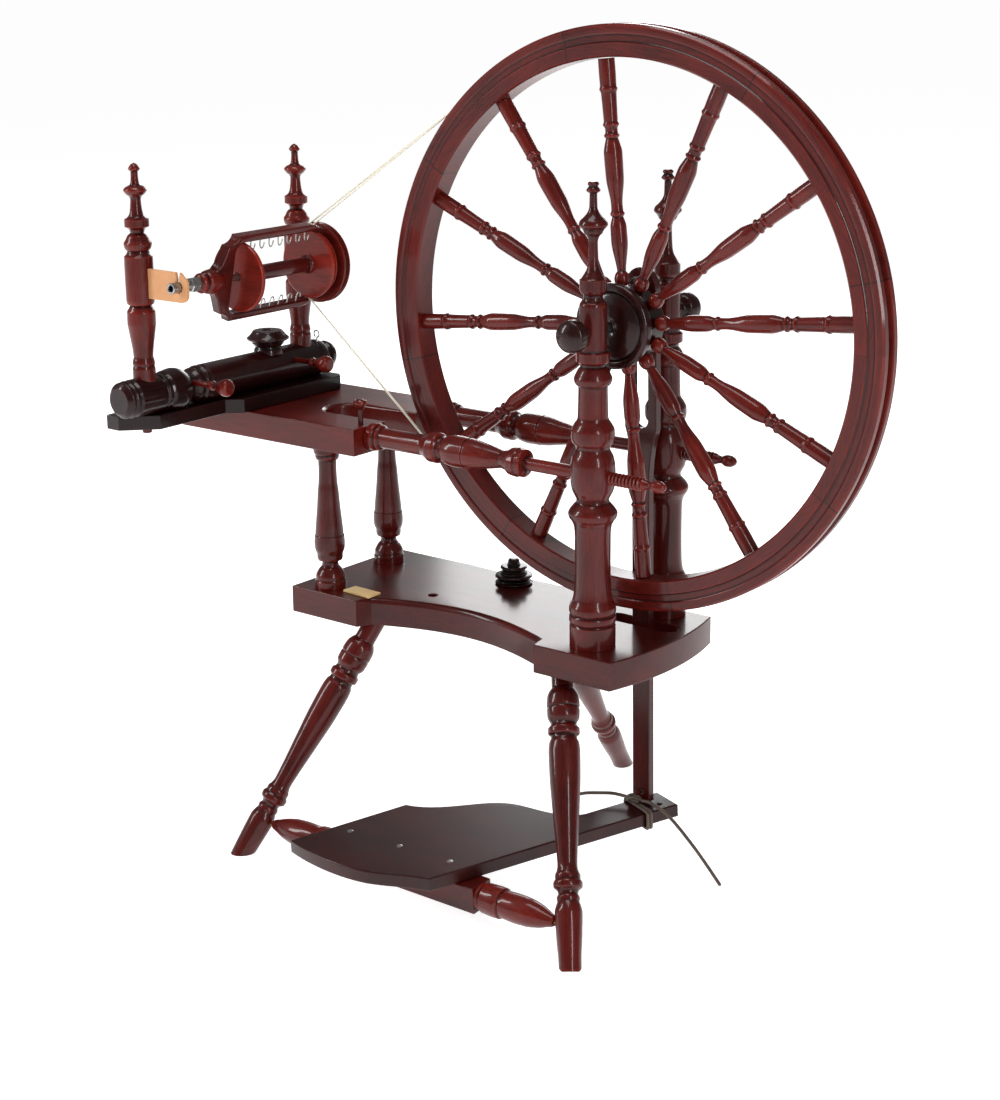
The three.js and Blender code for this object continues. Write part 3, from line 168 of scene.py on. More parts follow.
def leather(name, dark, middle, light, grain_mm, roughness, relief_mm):
    """Leather: soft-sheened, blotchy from handling, with a pebbled surface."""
    material, tree, shader, place = new_material(name)
    blotches = add_node(tree, "TexNoise", [("Vector", place), ("Scale", 1 / (14 * MM)), ("Detail", 5)])
    pebbles = add_node(tree, "TexVoronoi", [("Vector", place), ("Scale", 1 / (grain_mm * MM))])
    fibres = add_node(tree, "TexNoise", [("Vector", place), ("Scale", 4 / (grain_mm * MM)), ("Detail", 6)])
    tone = blend(tree, blotches.outputs["Fac"], linear(dark), linear(light))
    mixed = blend(tree, 0.5, tone, linear(middle))
    speck = add_node(
        tree, "MapRange", [("Value", fibres.outputs["Fac"]), ("To Min", 0.7), ("To Max", 1.25)]
    )
    colour = add_node(
        tree, "VectorMath", [(0, mixed), ("Scale", speck.outputs["Result"])], operation="SCALE"
    )
    tree.links.new(colour.outputs["Vector"], shader.inputs["Base Color"])
    rough = add_node(
        tree,
        "MapRange",
        [("Value", blotches.outputs["Fac"]), ("To Min", roughness - 0.1), ("To Max", roughness + 0.12)],
    )
    tree.links.new(rough.outputs["Result"], shader.inputs["Roughness"])
    height = add_node(
        tree, "Math", [(0, pebbles.outputs["Distance"]), (1, fibres.outputs["Fac"])], operation="ADD"
    )
    relief = add_node(
        tree, "Bump", [("Height", height.outputs["Value"]), ("Distance", relief_mm * MM), ("Strength", 0.6)]
    )
    tree.links.new(relief.outputs["Normal"], shader.inputs["Normal"])
    shader.inputs["IOR"].default_value = 1.45
    return material


lace_leather = leather("waxed_leather_lace", "#2b221d", "#4a3d34", "#6d5d50", 0.8, 0.5, 0.12)
LACE_RADIUS = 1.9
TREADLE_AXIS = spot(0, -189, FLOOR + 34)
TREADLE_TILT = 4
treadle_place = Matrix.Translation(TREADLE_AXIS) @ Matrix.Rotation(math.radians(TREADLE_TILT), 4, "X")
LEVER_LOW, LEVER_HIGH = 15.3, 30.3
knot_at = treadle_place @ (Vector((1, 211, LEVER_HIGH + 5)) * MM)


def bent_line(points, steps, closed=False):
    """Points along the even curve that passes through the given ones."""
    count = len(points)
    pick = (lambda i: points[i % count]) if closed else (lambda i: points[max(0, min(count - 1, i))])
    line = []
    for i in range(count if closed else count - 1):
        a, b, c, d = (Vector(pick(i + k)) for k in (-1, 0, 1, 2))
        for k in range(steps):
            t = k / steps
            line.append(
                0.5
                * (2 * b + (c - a) * t + (2 * a - 5 * b + 4 * c - d) * t**2 + (3 * b - a - 3 * c + d) * t**3)
            )
    if not closed:
        line.append(Vector(points[-1]))
    return line


def cord_piece(name, line, radius_mm, material, closed=False, round_ends=True):
    """A cord or wire along a line of points in metres."""
    shape = bpy.data.curves.new(name, "CURVE")
    shape.dimensions = "3D"
    shape.bevel_depth = radius_mm * MM
    shape.bevel_resolution = 4
    shape.use_fill_caps = not closed
    spline = shape.splines.new("POLY")
    spline.points.add(len(line) - 1)
    for i, (point, place) in enumerate(zip(spline.points, line)):
        point.co = (*place, 1)
        if round_ends and not closed and i in (0, len(line) - 1):
            point.radius = 0.55
    spline.use_cyclic_u = closed
    spline.use_smooth = True
    piece = bpy.data.objects.new(name, shape)
    shape.materials.append(material)
    bpy.context.scene.collection.objects.link(piece)
    return piece


LACE_TAILS = {
    "left": [(-10, 0, 3), (-25, -4, 4), (-40, -11, 3), (-54, -17, 1), (-65, -23, -3)],
    "right": [(10.5, 0, 3), (26, -1, 3.5), (50, -2, -6), (86, -6, -32), (122, -12, -62)],
}
for side, points in LACE_TAILS.items():
    line = bent_line([knot_at + Vector(p) * MM for p in points], 14)
    tail = cord_piece("leather_lace_" + side, line, LACE_RADIUS, lace_leather)
    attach(tail, "treadle")
    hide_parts("lace_tail_" + side)

# The two turns round the lever, and the overhand knot that rides on top of them.
LACE_CORNER = 3
lever_half = 20 + LACE_RADIUS + 0.5
turn_low, turn_high = LEVER_LOW - LACE_RADIUS - 0.5, LEVER_HIGH + LACE_RADIUS + 0.5
turn_corners = [
    (lever_half - LACE_CORNER, turn_low + LACE_CORNER, -90),
    (lever_half - LACE_CORNER, turn_high - LACE_CORNER, 0),
    (-lever_half + LACE_CORNER, turn_high - LACE_CORNER, 90),
    (-lever_half + LACE_CORNER, turn_low + LACE_CORNER, 180),
]
lever_turn = Matrix.Translation(Vector((7.8, 210, 0)) * MM) @ Matrix.Rotation(math.radians(-22), 4, "Z")
for number, shift in ((1, -2.1), (2, 2.1)):
    loop = []
    for across, up, start in turn_corners:
        for k in range(6):
            angle = math.radians(start + 18 * k)
            corner = Vector((across + LACE_CORNER * math.cos(angle), shift,
                up + LACE_CORNER * math.sin(angle)))
            loop.append(treadle_place @ lever_turn @ (corner * MM))
    lace_turn = cord_piece(f"lace_turn_{number}", loop, LACE_RADIUS, lace_leather, closed=True)
    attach(lace_turn, "treadle")
    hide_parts("lace_knot")

KNOT_LOOPS = [
    [(-10, 0, 3), (-5, -3.4, 4.5), (2, -3.8, 2.4), (6, 0, 1), (3, 3.6, 3), (-3, 3.6, 5.4), (-7, 0, 3.4),
    (-3, -3, 0)],
    [(10.5, 0, 3), (5, 3.4, 4.8), (-2, 3.4, 2), (-6, 0, 0.4), (-2, -3.8, 4), (4, -3.4, 5.6), (7, 0, 2.6),
    (3, 3, -0.4)],
]
for number, points in enumerate(KNOT_LOOPS, 1):
    line = bent_line([knot_at + Vector(p) * MM for p in points], 8)
    strand = cord_piece(f"lace_knot_strand_{number}", line, LACE_RADIUS, lace_leather)
    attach(strand, "treadle")


# ---- wheel rim ----
# The rim is glued up from curved felloes of close-grained hardwood, turned with fillets and coves on both
# faces and one deep groove for the band, then stained deep red and lacquered. Painted shade darkens the
# coves and a painted highlight lightens the crests.
def smooth_run(knots, step):
    """Points along the smooth line through the knots, which never bulges past them, without the last."""
    gaps = [max(math.dist(a, b), 1e-6) for a, b in zip(knots, knots[1:])]
    slopes = []
    for k in (0, 1):
        rise = [(b[k] - a[k]) / gap for a, b, gap in zip(knots, knots[1:], gaps)]
        inner = [0 if p * q <= 0 else 2 * p * q / (p + q) for p, q in zip(rise, rise[1:])]
        slopes.append([rise[0], *inner, rise[-1]])
    line = []
    for i, gap in enumerate(gaps):
        count = max(1, round(gap / step))
        for t in (k / count for k in range(count)):
            h00, h10 = 2 * t**3 - 3 * t**2 + 1, t**3 - 2 * t**2 + t
            h01, h11 = 3 * t**2 - 2 * t**3, t**3 - t**2
            line.append(
                tuple(
                    h00 * knots[i][k] + h10 * gap * slopes[k][i]
                    + h01 * knots[i + 1][k] + h11 * gap * slopes[k][i + 1]
                    for k in (0, 1)
                )
            )
    return line


def crests(line):
    """How proud each point of an outline stands of its neighbours: 1 on a crest, -1 in a hollow."""
    reach, full = 3.0, 0.55
    found = []
    for i, here in enumerate(line):
        near = [p for p in line[max(0, i - 14) : i + 15] if math.dist(p, here) < reach]
        middle = [sum(p[k] for p in near) / len(near) for k in (0, 1)]
        before, after = line[max(0, i - 1)], line[min(len(line) - 1, i + 1)]
        ahead = (after[0] - before[0], after[1] - before[1])
        size = max(math.hypot(*ahead), 1e-6)
        proud = ((here[0] - middle[0]) * -ahead[1] + (here[1] - middle[1]) * ahead[0]) / size
        found.append(max(-1.0, min(1.0, proud / full)))
    return found


def turned(name, outline, place, axis, sides=56, step=1.2, facets=False):
    """A piece turned on a lathe from (along, radius) points in millimetres, where a point written twice
    is a hard corner. An outline that ends where it starts is a ring. The piece's own Z is the lathe's
    axis."""
    runs = [[outline[0]]]
    for point in outline[1:]:
        if point == runs[-1][-1]:
            runs.append([point])
        else:
            runs[-1].append(point)
    line, corners = [], set()
    for run in runs:
        corners.add(len(line))
        line += smooth_run(run, step)
    ring = outline[0] == outline[-1]
    if not ring:
        line.append(outline[-1])
    proud = crests(line)
    shape = bmesh.new()
    crest = shape.verts.layers.float.new("crest")
    rings = []
    for (along, radius), value in zip(line, proud):
        spots = 1 if radius < 1e-6 else sides
        made = []
        for k in range(spots):
            angle = 2 * math.pi * k / sides
            corner = Vector((radius * math.cos(angle), radius * math.sin(angle), along)) * MM
            made.append(shape.verts.new(corner))
            made[-1][crest] = value
        rings.append(made)
    pairs = list(zip(rings, rings[1:])) + ([(rings[-1], rings[0])] if ring else [])
    for low, high in pairs:
        for k in range(sides):
            n = (k + 1) % sides
            if len(low) == 1 and len(high) > 1:
                shape.faces.new((low[0], high[n], high[k]))
            elif len(high) == 1 and len(low) > 1:
                shape.faces.new((low[k], low[n], high[0]))
            elif len(low) > 1:
                shape.faces.new((low[k], low[n], high[n], high[k]))
    if not ring:
        for end in (rings[0], rings[-1]):
            if len(end) > 1:
                shape.faces.new(end)
    bmesh.ops.recalc_face_normals(shape, faces=shape.faces)
    for face in shape.faces:
        face.smooth = True
    for index in corners:
        if len(rings[index]) > 1 and (ring or index > 0):
            for k in range(sides):
                edge = shape.edges.get((rings[index][k], rings[index][(k + 1) % sides]))
                edge.smooth = False
    for edge in shape.edges:
        if len(edge.link_faces) == 2 and edge.calc_face_angle() > math.radians(25 if facets else 40):
            edge.smooth = False
    piece = bpy.data.objects.new(name, bpy.data.meshes.new(name))
    shape.to_mesh(piece.data)
    shape.free()
    bpy.context.scene.collection.objects.link(piece)
    piece.matrix_world = Matrix.Translation(place) @ Vector(axis).to_track_quat("Z", "Y").to_matrix().to_4x4()
    return piece


def lacquered_wood(name, dark, middle, light, grain="Z", felloes=0, gloss=0.09, fleck=0.5):
    """Stained hardwood under clear lacquer: fine streaks along the grain, short dark pores, blotchy stain,
    painted shade that darkens the hollows, a painted highlight that lightens the crests, and a glassy coat
    with a faint orange peel."""
    streak_mm, streak_length_mm = 1.6, 26  # drawn a little coarser than the real half millimetre, to show
    pore_mm, pore_length_mm = 0.7, 5
    blotch_mm, peel_mm = 38, 2.4
    material, tree, shader, place = new_material(name)
    chance = add_node(tree, "ObjectInfo").outputs["Random"]
    shift = add_node(tree, "Math", [(0, chance), (1, 5.0)], operation="MULTIPLY").outputs["Value"]
    joint = None
    if felloes:
        share = felloes / (2 * math.pi)
        split = add_node(tree, "SeparateXYZ", [("Vector", place)])
        angle = add_node(
            tree, "Math", [(0, split.outputs["Y"]), (1, split.outputs["X"])], operation="ARCTAN2"
        )
        turns = add_node(
            tree, "Math", [(0, angle.outputs["Value"]), (1, share), (2, 0.3)], operation="MULTIPLY_ADD"
        )
        felloe = add_node(tree, "Math", [(0, turns.outputs["Value"])], operation="FLOOR")
        back = add_node(
            tree, "Math", [(0, felloe.outputs["Value"]), (1, -1 / share), (2, -0.2 / share)],
            operation="MULTIPLY_ADD",
        )
        place = add_node(
            tree, "VectorRotate", [("Vector", place), ("Angle", back.outputs["Value"])],
            rotation_type="Z_AXIS",
        ).outputs["Vector"]
        shift = felloe.outputs["Value"]
        edge = add_node(tree, "Math", [(0, turns.outputs["Value"]), (1, 0.5)], operation="PINGPONG")
        joint = add_node(tree, "Math", [(0, edge.outputs["Value"]), (1, 0.0028)], operation="LESS_THAN")
    moved = add_node(tree, "VectorMath", [(0, place), (1, shift)], operation="ADD").outputs["Vector"]

    def stretched(across_mm, along_mm):
        sizes = [1 / (along_mm * MM) if letter == grain else 1 / (across_mm * MM) for letter in "XYZ"]
        return add_node(
            tree, "Mapping", [("Vector", moved), ("Scale", sizes)], vector_type="POINT"
        ).outputs["Vector"]

    blotches = add_node(
        tree, "TexNoise", [("Vector", stretched(blotch_mm, 3 * blotch_mm)), ("Scale", 1.0), ("Detail", 4)]
    ).outputs["Fac"]
    streaks = add_node(
        tree, "TexNoise",
        [("Vector", stretched(streak_mm, streak_length_mm)), ("Scale", 1.0), ("Detail", 5),
        ("Roughness", 0.65)],
    ).outputs["Fac"]
    pores = add_node(
        tree, "TexNoise",
        [("Vector", stretched(pore_mm, pore_length_mm)), ("Scale", 1.0), ("Detail", 2), ("Roughness", 0.5)],
    ).outputs["Fac"]
    figure = add_node(
        tree, "Math", [(0, blotches), (1, 0.55), (2, -0.025)], operation="MULTIPLY_ADD"
    ).outputs["Value"]
    figure = add_node(tree, "Math", [(0, streaks), (1, 0.55), (2, figure)], operation="MULTIPLY_ADD")
    spread = add_node(
        tree, "MapRange", [("Value", figure.outputs["Value"]), ("From Min", 0.38), ("From Max", 0.66)]
    ).outputs["Result"]
    low = blend(tree, spread, linear(dark), linear(middle))
    high = blend(tree, spread, linear(middle), linear(light))
    body = blend(tree, 0.38, low, high)
    crest = add_node(tree, "Attribute", attribute_name="crest").outputs["Fac"]
    # Painted highlight: the colour turns lighter on the crests of the turned outline.
    painted_crest_highlight = add_node(
        tree, "MapRange", [("Value", crest), ("From Min", 0.1), ("From Max", 1.0), ("To Max", 0.75)]
    ).outputs["Result"]
    body = blend(tree, painted_crest_highlight, body, high)
    # Painted shade: the colour turns dark in the hollows of the turned outline.
    painted_hollow_shade = add_node(
        tree, "MapRange", [("Value", crest), ("From Min", -0.08), ("From Max", -0.8), ("To Max", 0.85)]
    ).outputs["Result"]
    body = blend(tree, painted_hollow_shade, body, linear(dark))
    specks = add_node(
        tree, "MapRange", [("Value", pores), ("From Min", 0.64), ("From Max", 0.74), ("To Max", fleck)]
    ).outputs["Result"]
    body = blend(tree, specks, body, linear(dark))
    if joint:
        body = blend(tree, joint.outputs["Value"], body, linear(dark))
    tree.links.new(body, shader.inputs["Base Color"])
    rough = add_node(tree, "MapRange", [("Value", streaks), ("To Min", 0.3), ("To Max", 0.5)])
    tree.links.new(rough.outputs["Result"], shader.inputs["Roughness"])
    peel = add_node(tree, "TexNoise", [("Vector", moved), ("Scale", 1 / (peel_mm * MM)), ("Detail", 1)])
    lift = add_node(
        tree, "Math", [(0, peel.outputs["Fac"]), (1, 0.45), (2, streaks)], operation="MULTIPLY_ADD"
    )
    relief = add_node(
        tree, "Bump", [("Height", lift.outputs["Value"]), ("Distance", 0.05 * MM), ("Strength", 0.5)]
    )
    tree.links.new(relief.outputs["Normal"], shader.inputs["Normal"])
    shader.inputs["IOR"].default_value = 1.5
    shader.inputs["Coat Weight"].default_value = 0.45
    shader.inputs["Specular IOR Level"].default_value = 0.12
    shader.inputs["Coat Roughness"].default_value = gloss
    shader.inputs["Coat IOR"].default_value = 1.42
    tree.links.new(relief.outputs["Normal"], shader.inputs["Coat Normal"])
    return material


def finish_piece(piece, material, body, slot, *stands_for):
    """Gives a made piece its material and body, and hides the CAD nodes that it stands for. Its slot is not
    used.
    """
    if piece.data.materials:
        piece.data.materials[0] = material
    else:
        piece.data.materials.append(material)
    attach(piece, body)
    if stands_for:
        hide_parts(*stands_for)
    return piece


ALONG_AXLE = (0, 1, 0)
NEAR_FACE = [
    (-13, 271.8), (-14.75, 273.5), (-14.75, 273.5), (-14.75, 286), (-14.75, 286), (-12.8, 287.5),
    (-12.8, 290.5), (-12.8, 294), (-12.8, 294), (-14, 295.5), (-14.2, 299), (-14, 303), (-14, 303),
    (-12, 305), (-12, 305), (-6, 305), (-6, 305), (-3.2, 298),
]
rim_outline = NEAR_FACE + [(-along, radius) for along, radius in reversed(NEAR_FACE)] + [NEAR_FACE[0]]
rim = turned("wheel_rim", rim_outline, AXLE, ALONG_AXLE, sides=240, step=1.0)
rim_wood = lacquered_wood("mahogany_stained_felloes", "#1f0403", "#490c08", "#6d1a11", felloes=8,
    grain="Y", fleck=0.6)
finish_piece(rim, rim_wood, "wheel", "mahogany", "rim")


# ---- spokes ----
# Twelve spokes of the same hardwood, turned with two pairs of beads each and glued into hub and rim.
SPOKE_OUTLINE = [
    (38.9, 4.5), (41, 7), (46, 8.2), (51, 7), (54, 4.6), (54, 4.6), (57, 4.8), (62, 5.5), (85, 8.6),
    (100, 8.4), (110, 5.8), (110, 5.8), (113, 7.6), (116, 6.2), (116, 6.2), (122, 6), (150, 9.2),
    (175, 9.6), (186, 7.5), (190, 6.3), (190, 6.3), (193, 8.2), (196, 6.4), (200, 6.4), (204, 8.4),
    (207, 7.2), (207, 7.2), (236, 8), (240, 9.4), (243, 8.4), (255, 8.6), (270.8, 8.5),
]
FIRST_SPOKE_TURN = 95.4
SPOKE_COUNT = 12
spoke_wood = lacquered_wood("mahogany_stained_spokes", "#200403", "#530e08", "#7d1f13")
for i in range(SPOKE_COUNT):
    lean = math.radians(FIRST_SPOKE_TURN - 360 / SPOKE_COUNT * i)
    way = (math.cos(lean), 0, math.sin(lean))
    node_name = f"spoke_{i + 1:02d}"
    spoke = turned("turned_" + node_name, SPOKE_OUTLINE, AXLE, way, sides=32)
    finish_piece(spoke, spoke_wood, "wheel", "red_mahogany", node_name)


# ---- hub ----
# A nearly black turned hub; its near face is a domed disc with a rolled edge, and the spokes stand in its
# drum.
HUB_OUTLINE = [
    (-30, 5.3), (-31.5, 12), (-31.5, 20), (-28, 33), (-25.5, 36), (-25.5, 36), (-27.5, 38), (-27.5, 42),
    (-24, 45), (-19, 45), (-15, 42), (-13, 38.5), (-13, 38.5), (14, 38.5), (14, 38.5), (18, 36), (20, 30),
    (20, 5.3), (20, 5.3), (-30, 5.3),
]
black_wood = lacquered_wood("ebonised_lacquered_hardwood", "#060101", "#160403", "#380b07", gloss=0.07,
    fleck=0.35)
hub = turned("wheel_hub", HUB_OUTLINE, AXLE, ALONG_AXLE, sides=72, step=1.0)
finish_piece(hub, black_wood, "wheel", "dark_mahogany", "hub")


# ---- axle and crank ----
# Plain bright steel rod, ground smooth, with the crank cheek and its short pin. It keeps its CAD shape.
def ground_metal(name, colour, roughness, lay_mm=0.6):
    """Ground or drawn metal: fine lines along it that vary its shine, and a few dull spots from handling."""
    material, tree, shader, place = new_material(name)
    lines = add_node(tree, "Mapping", [("Vector", place), ("Scale", [1 / (lay_mm * MM)] * 2 + [60])])
    scratches = add_node(
        tree, "TexNoise", [("Vector", lines.outputs["Vector"]), ("Scale", 1.0), ("Detail", 3)]
    )
    spots = add_node(tree, "TexNoise", [("Vector", place), ("Scale", 1 / (6 * MM)), ("Detail", 4)])
    both = add_node(
        tree, "Math", [(0, scratches.outputs["Fac"]), (1, spots.outputs["Fac"])], operation="MULTIPLY"
    )
    rough = add_node(
        tree, "MapRange",
        [("Value", both.outputs["Value"]), ("From Max", 0.5), ("To Min", roughness * 0.6),
        ("To Max", roughness * 1.5)],
    )
    tree.links.new(rough.outputs["Result"], shader.inputs["Roughness"])
    dull = add_node(
        tree, "MapRange", [("Value", spots.outputs["Fac"]), ("To Min", 0.75), ("To Max", 1.15)]
    )
    tint = add_node(
        tree, "VectorMath", [(0, linear(colour)[:3]), ("Scale", dull.outputs["Result"])], operation="SCALE"
    )
    tree.links.new(tint.outputs["Vector"], shader.inputs["Base Color"])
    shader.inputs["Metallic"].default_value = 1.0
    relief = add_node(
        tree, "Bump",
        [("Height", scratches.outputs["Fac"]), ("Distance", 0.01 * MM), ("Strength", 0.4)],
    )
    tree.links.new(relief.outputs["Normal"], shader.inputs["Normal"])
    return material


steel = ground_metal("ground_bright_steel", "#a9aaa8", 0.28)
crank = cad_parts["axle_crank"]
crank.data.materials.clear()
crank.data.materials.append(steel)


# ---- base board ----
# A board of stained hardwood with a concave cut for the spinner's knee, a bowed right end, a slot for the
# footman and a small hole. Its edges are eased, and the cut has a rounded lip along its top.
def signed_area(loop):
    return sum(a[0] * b[1] - b[0] * a[1] for a, b in zip(loop, loop[1:] + loop[:1])) / 2


def eased_board(name, loops, low, high, ease, matrix):
    """A board from its outline and its holes, points in millimetres, with rounded edges. ease is the
    rounding in millimetres, or a function of a point that gives it. The board lies in its own XY, between
    two heights."""
    size_at = ease if callable(ease) else (lambda x, y: ease)
    steps = 5
    shape = bmesh.new()
    caps = {0: [], 1: []}
    for number, loop in enumerate(loops):
        points = [Vector(p) for p in loop]
        if (signed_area(loop) > 0) != (number == 0):
            points.reverse()
        count = len(points)
        inward = []
        for i, point in enumerate(points):
            before = (point - points[i - 1]).normalized()
            after = (points[(i + 1) % count] - point).normalized()
            side = Vector((-before.y - after.y, before.x + after.x))
            side.normalize()
            share = max(0.35, side.dot(Vector((-before.y, before.x))))
            inward.append(side / share)
        profile = []
        for end in (0, 1):
            for k in range(steps + 1):
                angle = math.pi / 2 * (k / steps)
                inset, drop = 1 - math.sin(angle), 1 - math.cos(angle)
                profile.append((inset, drop, 0) if end == 0 else (1 - math.cos(angle), 1 - math.sin(angle),
                    1))
        rings = []
        for inset, drop, end in profile:
            ring = []
            for point, side in zip(points, inward):
                size = size_at(point.x, point.y) if end else min(1.2, size_at(point.x, point.y))
                flat = point + side * inset * size
                height = high - drop * size if end else low + drop * size
                ring.append(shape.verts.new(Vector((flat.x, flat.y, height)) * MM))
            rings.append(ring)
        for under, over in zip(rings, rings[1:]):
            for i in range(count):
                n = (i + 1) % count
                shape.faces.new((under[i], under[n], over[n], over[i]))
        for end, ring in ((0, rings[0]), (1, rings[-1])):
            caps[end] += [shape.edges.get((ring[i], ring[(i + 1) % count])) for i in range(count)]
    for edges in caps.values():
        bmesh.ops.triangle_fill(shape, edges=edges, use_beauty=True)
    bmesh.ops.recalc_face_normals(shape, faces=shape.faces)
    for face in shape.faces:
        face.smooth = True
    for edge in shape.edges:
        if len(edge.link_faces) == 2 and edge.calc_face_angle() > math.radians(33):
            edge.smooth = False
    piece = bpy.data.objects.new(name, bpy.data.meshes.new(name))
    shape.to_mesh(piece.data)
    shape.free()
    bpy.context.scene.collection.objects.link(piece)
    piece.matrix_world = matrix
    even = piece.modifiers.new("even_shading", "WEIGHTED_NORMAL")
    even.keep_sharp = True
    return piece


def arc(centre_x, centre_y, radius, start, end, steps=20):
    """Points round an arc, from one angle in degrees to another."""
    angles = [math.radians(start + (end - start) * k / steps) for k in range(steps + 1)]
    return [(centre_x + radius * math.cos(a), centre_y + radius * math.sin(a)) for a in angles]


BOARD_TOP, BOARD_LOW = FLOOR + 287, FLOOR + 255.5
BOARD_NEAR, BOARD_FAR = -95, 98
CUT_START, CUT_END, CUT_DEPTH = -302, -50, 46
board_wood = lacquered_wood(
    "mahogany_stained_board", "#1b0404", "#3c0a06", "#5e150d", grain="X", gloss=0.14, fleck=0.55
)


def cut_edge(edge_y, depth, steps=40):
    """The concave cut: the middle part of a sine arch, so that it starts with a short step."""
    points = []
    for k in range(steps + 1):
        share = k / steps
        rise = depth * math.sin(math.pi * (0.12 + 0.76 * share))
        points.append((CUT_START + 8 + (CUT_END - CUT_START - 16) * share, edge_y + rise))
    return points


board_middle, board_half = (BOARD_NEAR + BOARD_FAR) / 2, (BOARD_FAR - BOARD_NEAR) / 2
bowed_end = [(48 + 14 * (1 - s * s), board_middle + s * board_half) for s in (-1 + k / 12 for k in range(1,
    24))]
board_outline = [
    (-401, BOARD_NEAR), (CUT_START, BOARD_NEAR), *cut_edge(BOARD_NEAR, CUT_DEPTH), (CUT_END, BOARD_NEAR),
    (48, BOARD_NEAR), *bowed_end, (48, BOARD_FAR), (CUT_END, BOARD_FAR), *reversed(cut_edge(BOARD_FAR, -8)),
    (CUT_START, BOARD_FAR - 4), (-401, BOARD_FAR - 4),
]
footman_slot = arc(34, 36, 12, -90, 90) + arc(-34, 36, 12, 90, 270)
peg_hole = arc(-246, -26, 5.5, 0, 345, 23)


def board_ease(x, y):
    return 6.5 if CUT_START + 6 < x < CUT_END - 6 and y < -40 else 1.4


base_board = eased_board(
    "base_board_eased", [board_outline, footman_slot, peg_hole], BOARD_LOW, BOARD_TOP, board_ease,
    Matrix.Translation(AXLE),
)
finish_piece(base_board, board_wood, "frame", "mahogany", "base_board")


# ---- legs ----
# Three splayed legs, turned with rings, vases and a ball foot, driven into the board from below.
turned_wood = lacquered_wood("mahogany_stained_turnings", "#1a0403", "#450b07", "#6c1911")
LEG_OUTLINE = [
    (-1, 0), (-1, 12), (-1, 12), (22, 12), (24, 12), (28, 14.5), (34, 17), (44, 17.8), (46, 16.9),
    (46, 16.9), (48, 17.6), (56, 17.2), (63, 13.8), (63, 13.8), (66, 14.5), (69, 17), (74, 17), (77, 14),
    (77, 14), (79, 14), (84, 16), (94, 16.9), (120, 16.4), (160, 13.8), (200, 11), (214, 10.4), (220, 11.5),
    (220, 11.5), (224, 13.2), (228, 13.2), (228, 13.2), (232, 15.3), (236, 15), (240, 11), (243, 10.2),
    (243, 10.2), (247, 12), (251, 11.5), (251, 11.5), (255, 13), (262, 14.4), (280, 13.8),
]
LEG_PLACES = {
    "near_left": ((-300, -65), (-381, -212)),
    "near_right": ((-38, -60), (79, -206)),
    "far": ((-134, 57), (-187, 271)),
}
for side, (top, foot) in LEG_PLACES.items():
    top_at, foot_at = spot(*top, BOARD_LOW), spot(*foot, FLOOR)
    way = foot_at - top_at
    end = way.length / MM + 6
    leg = turned("turned_leg_" + side, LEG_OUTLINE + [(315, 11.8), (end, 11.8), (end, 11.8), (end, 0)],
        top_at, way)
    trim = bmesh.new()
    trim.from_mesh(leg.data)
    sole = leg.matrix_world.inverted() @ foot_at
    sole_facing = leg.matrix_world.inverted().to_3x3() @ Vector((0, 0, -1))
    geometry = list(trim.verts) + list(trim.edges) + list(trim.faces)
    sawn = bmesh.ops.bisect_plane(trim, geom=geometry, plane_co=sole, plane_no=sole_facing, clear_outer=True)
    cut_edges = [item for item in sawn["geom_cut"] if isinstance(item, bmesh.types.BMEdge)]
    for edge in cut_edges:
        edge.smooth = False
    bmesh.ops.contextual_create(trim, geom=cut_edges)
    trim.to_mesh(leg.data)
    trim.free()
    finish_piece(leg, turned_wood, "frame", "mahogany", "leg_" + side)


# ---- balusters ----
# Two turned columns carry the table above the left end of the board.
BALUSTER_OUTLINE = [
    (0.3, 0), (0.3, 18.2), (0.3, 18.2), (8, 18.2), (8, 18.2), (10, 17.2), (14, 17), (18, 15.4), (22, 13),
    (26, 9.8), (29, 9.4), (31, 9.6), (33, 14), (33, 14), (36, 14.8), (40, 15), (44, 16.5), (47, 17.3),
    (53, 17.7), (62, 17.1), (62, 17.1), (63, 16.5), (63, 16.5), (73, 15.7), (94, 13.6), (116, 11.9),
    (126, 10.8), (141, 10.3), (151, 10.6), (151, 10.6), (153, 13), (156, 13.8), (158, 13.6), (158, 13.6),
    (160, 15.2), (165.7, 16), (165.7, 16), (165.7, 0),
]
for side, place in {"near": (-363, -70), "far": (-376, 48)}.items():
    baluster = turned("turned_baluster_" + side, BALUSTER_OUTLINE, spot(*place, BOARD_TOP), (0, 0, 1))
    finish_piece(baluster, turned_wood, "frame", "mahogany", "baluster_" + side)


# ---- table ----
# The raised board that carries the flyer, cut with an open slot with a rounded lip for the band. On the real
# wheel its front edge shows redder, coarser grain than its top; here both share one material.
TABLE_TOP, TABLE_LOW = FLOOR + 484, FLOOR + 453
table_low, table_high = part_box("table_board")
table_left, table_right = (table_low.x - AXLE.x) / MM, (table_high.x - AXLE.x) / MM
SLOT_MIDDLE_Y, SLOT_RADIUS, SLOT_END_X = -7.5, 26.5, -385.5
table_outline = [
    (table_left, -88), (table_right, -88), (table_right, SLOT_MIDDLE_Y - SLOT_RADIUS),
    *arc(SLOT_END_X, SLOT_MIDDLE_Y, SLOT_RADIUS, -90, -270, 32),
    (table_right, SLOT_MIDDLE_Y + SLOT_RADIUS), (table_right, 94), (table_left, 94),
]


def table_ease(x, y):
    in_slot = abs(y - SLOT_MIDDLE_Y) < SLOT_RADIUS + 1 and x < table_right - 1
    return 5 if in_slot else 1.2


table = eased_board(
    "table_board_eased", [table_outline], TABLE_LOW, TABLE_TOP, table_ease, Matrix.Translation(AXLE)
)
table_wood = lacquered_wood(
    "mahogany_stained_table", "#250504", "#4e0d07", "#761d14", grain="X", gloss=0.14, fleck=0.6
)
finish_piece(table, table_wood, "frame", "mahogany", "table_board")


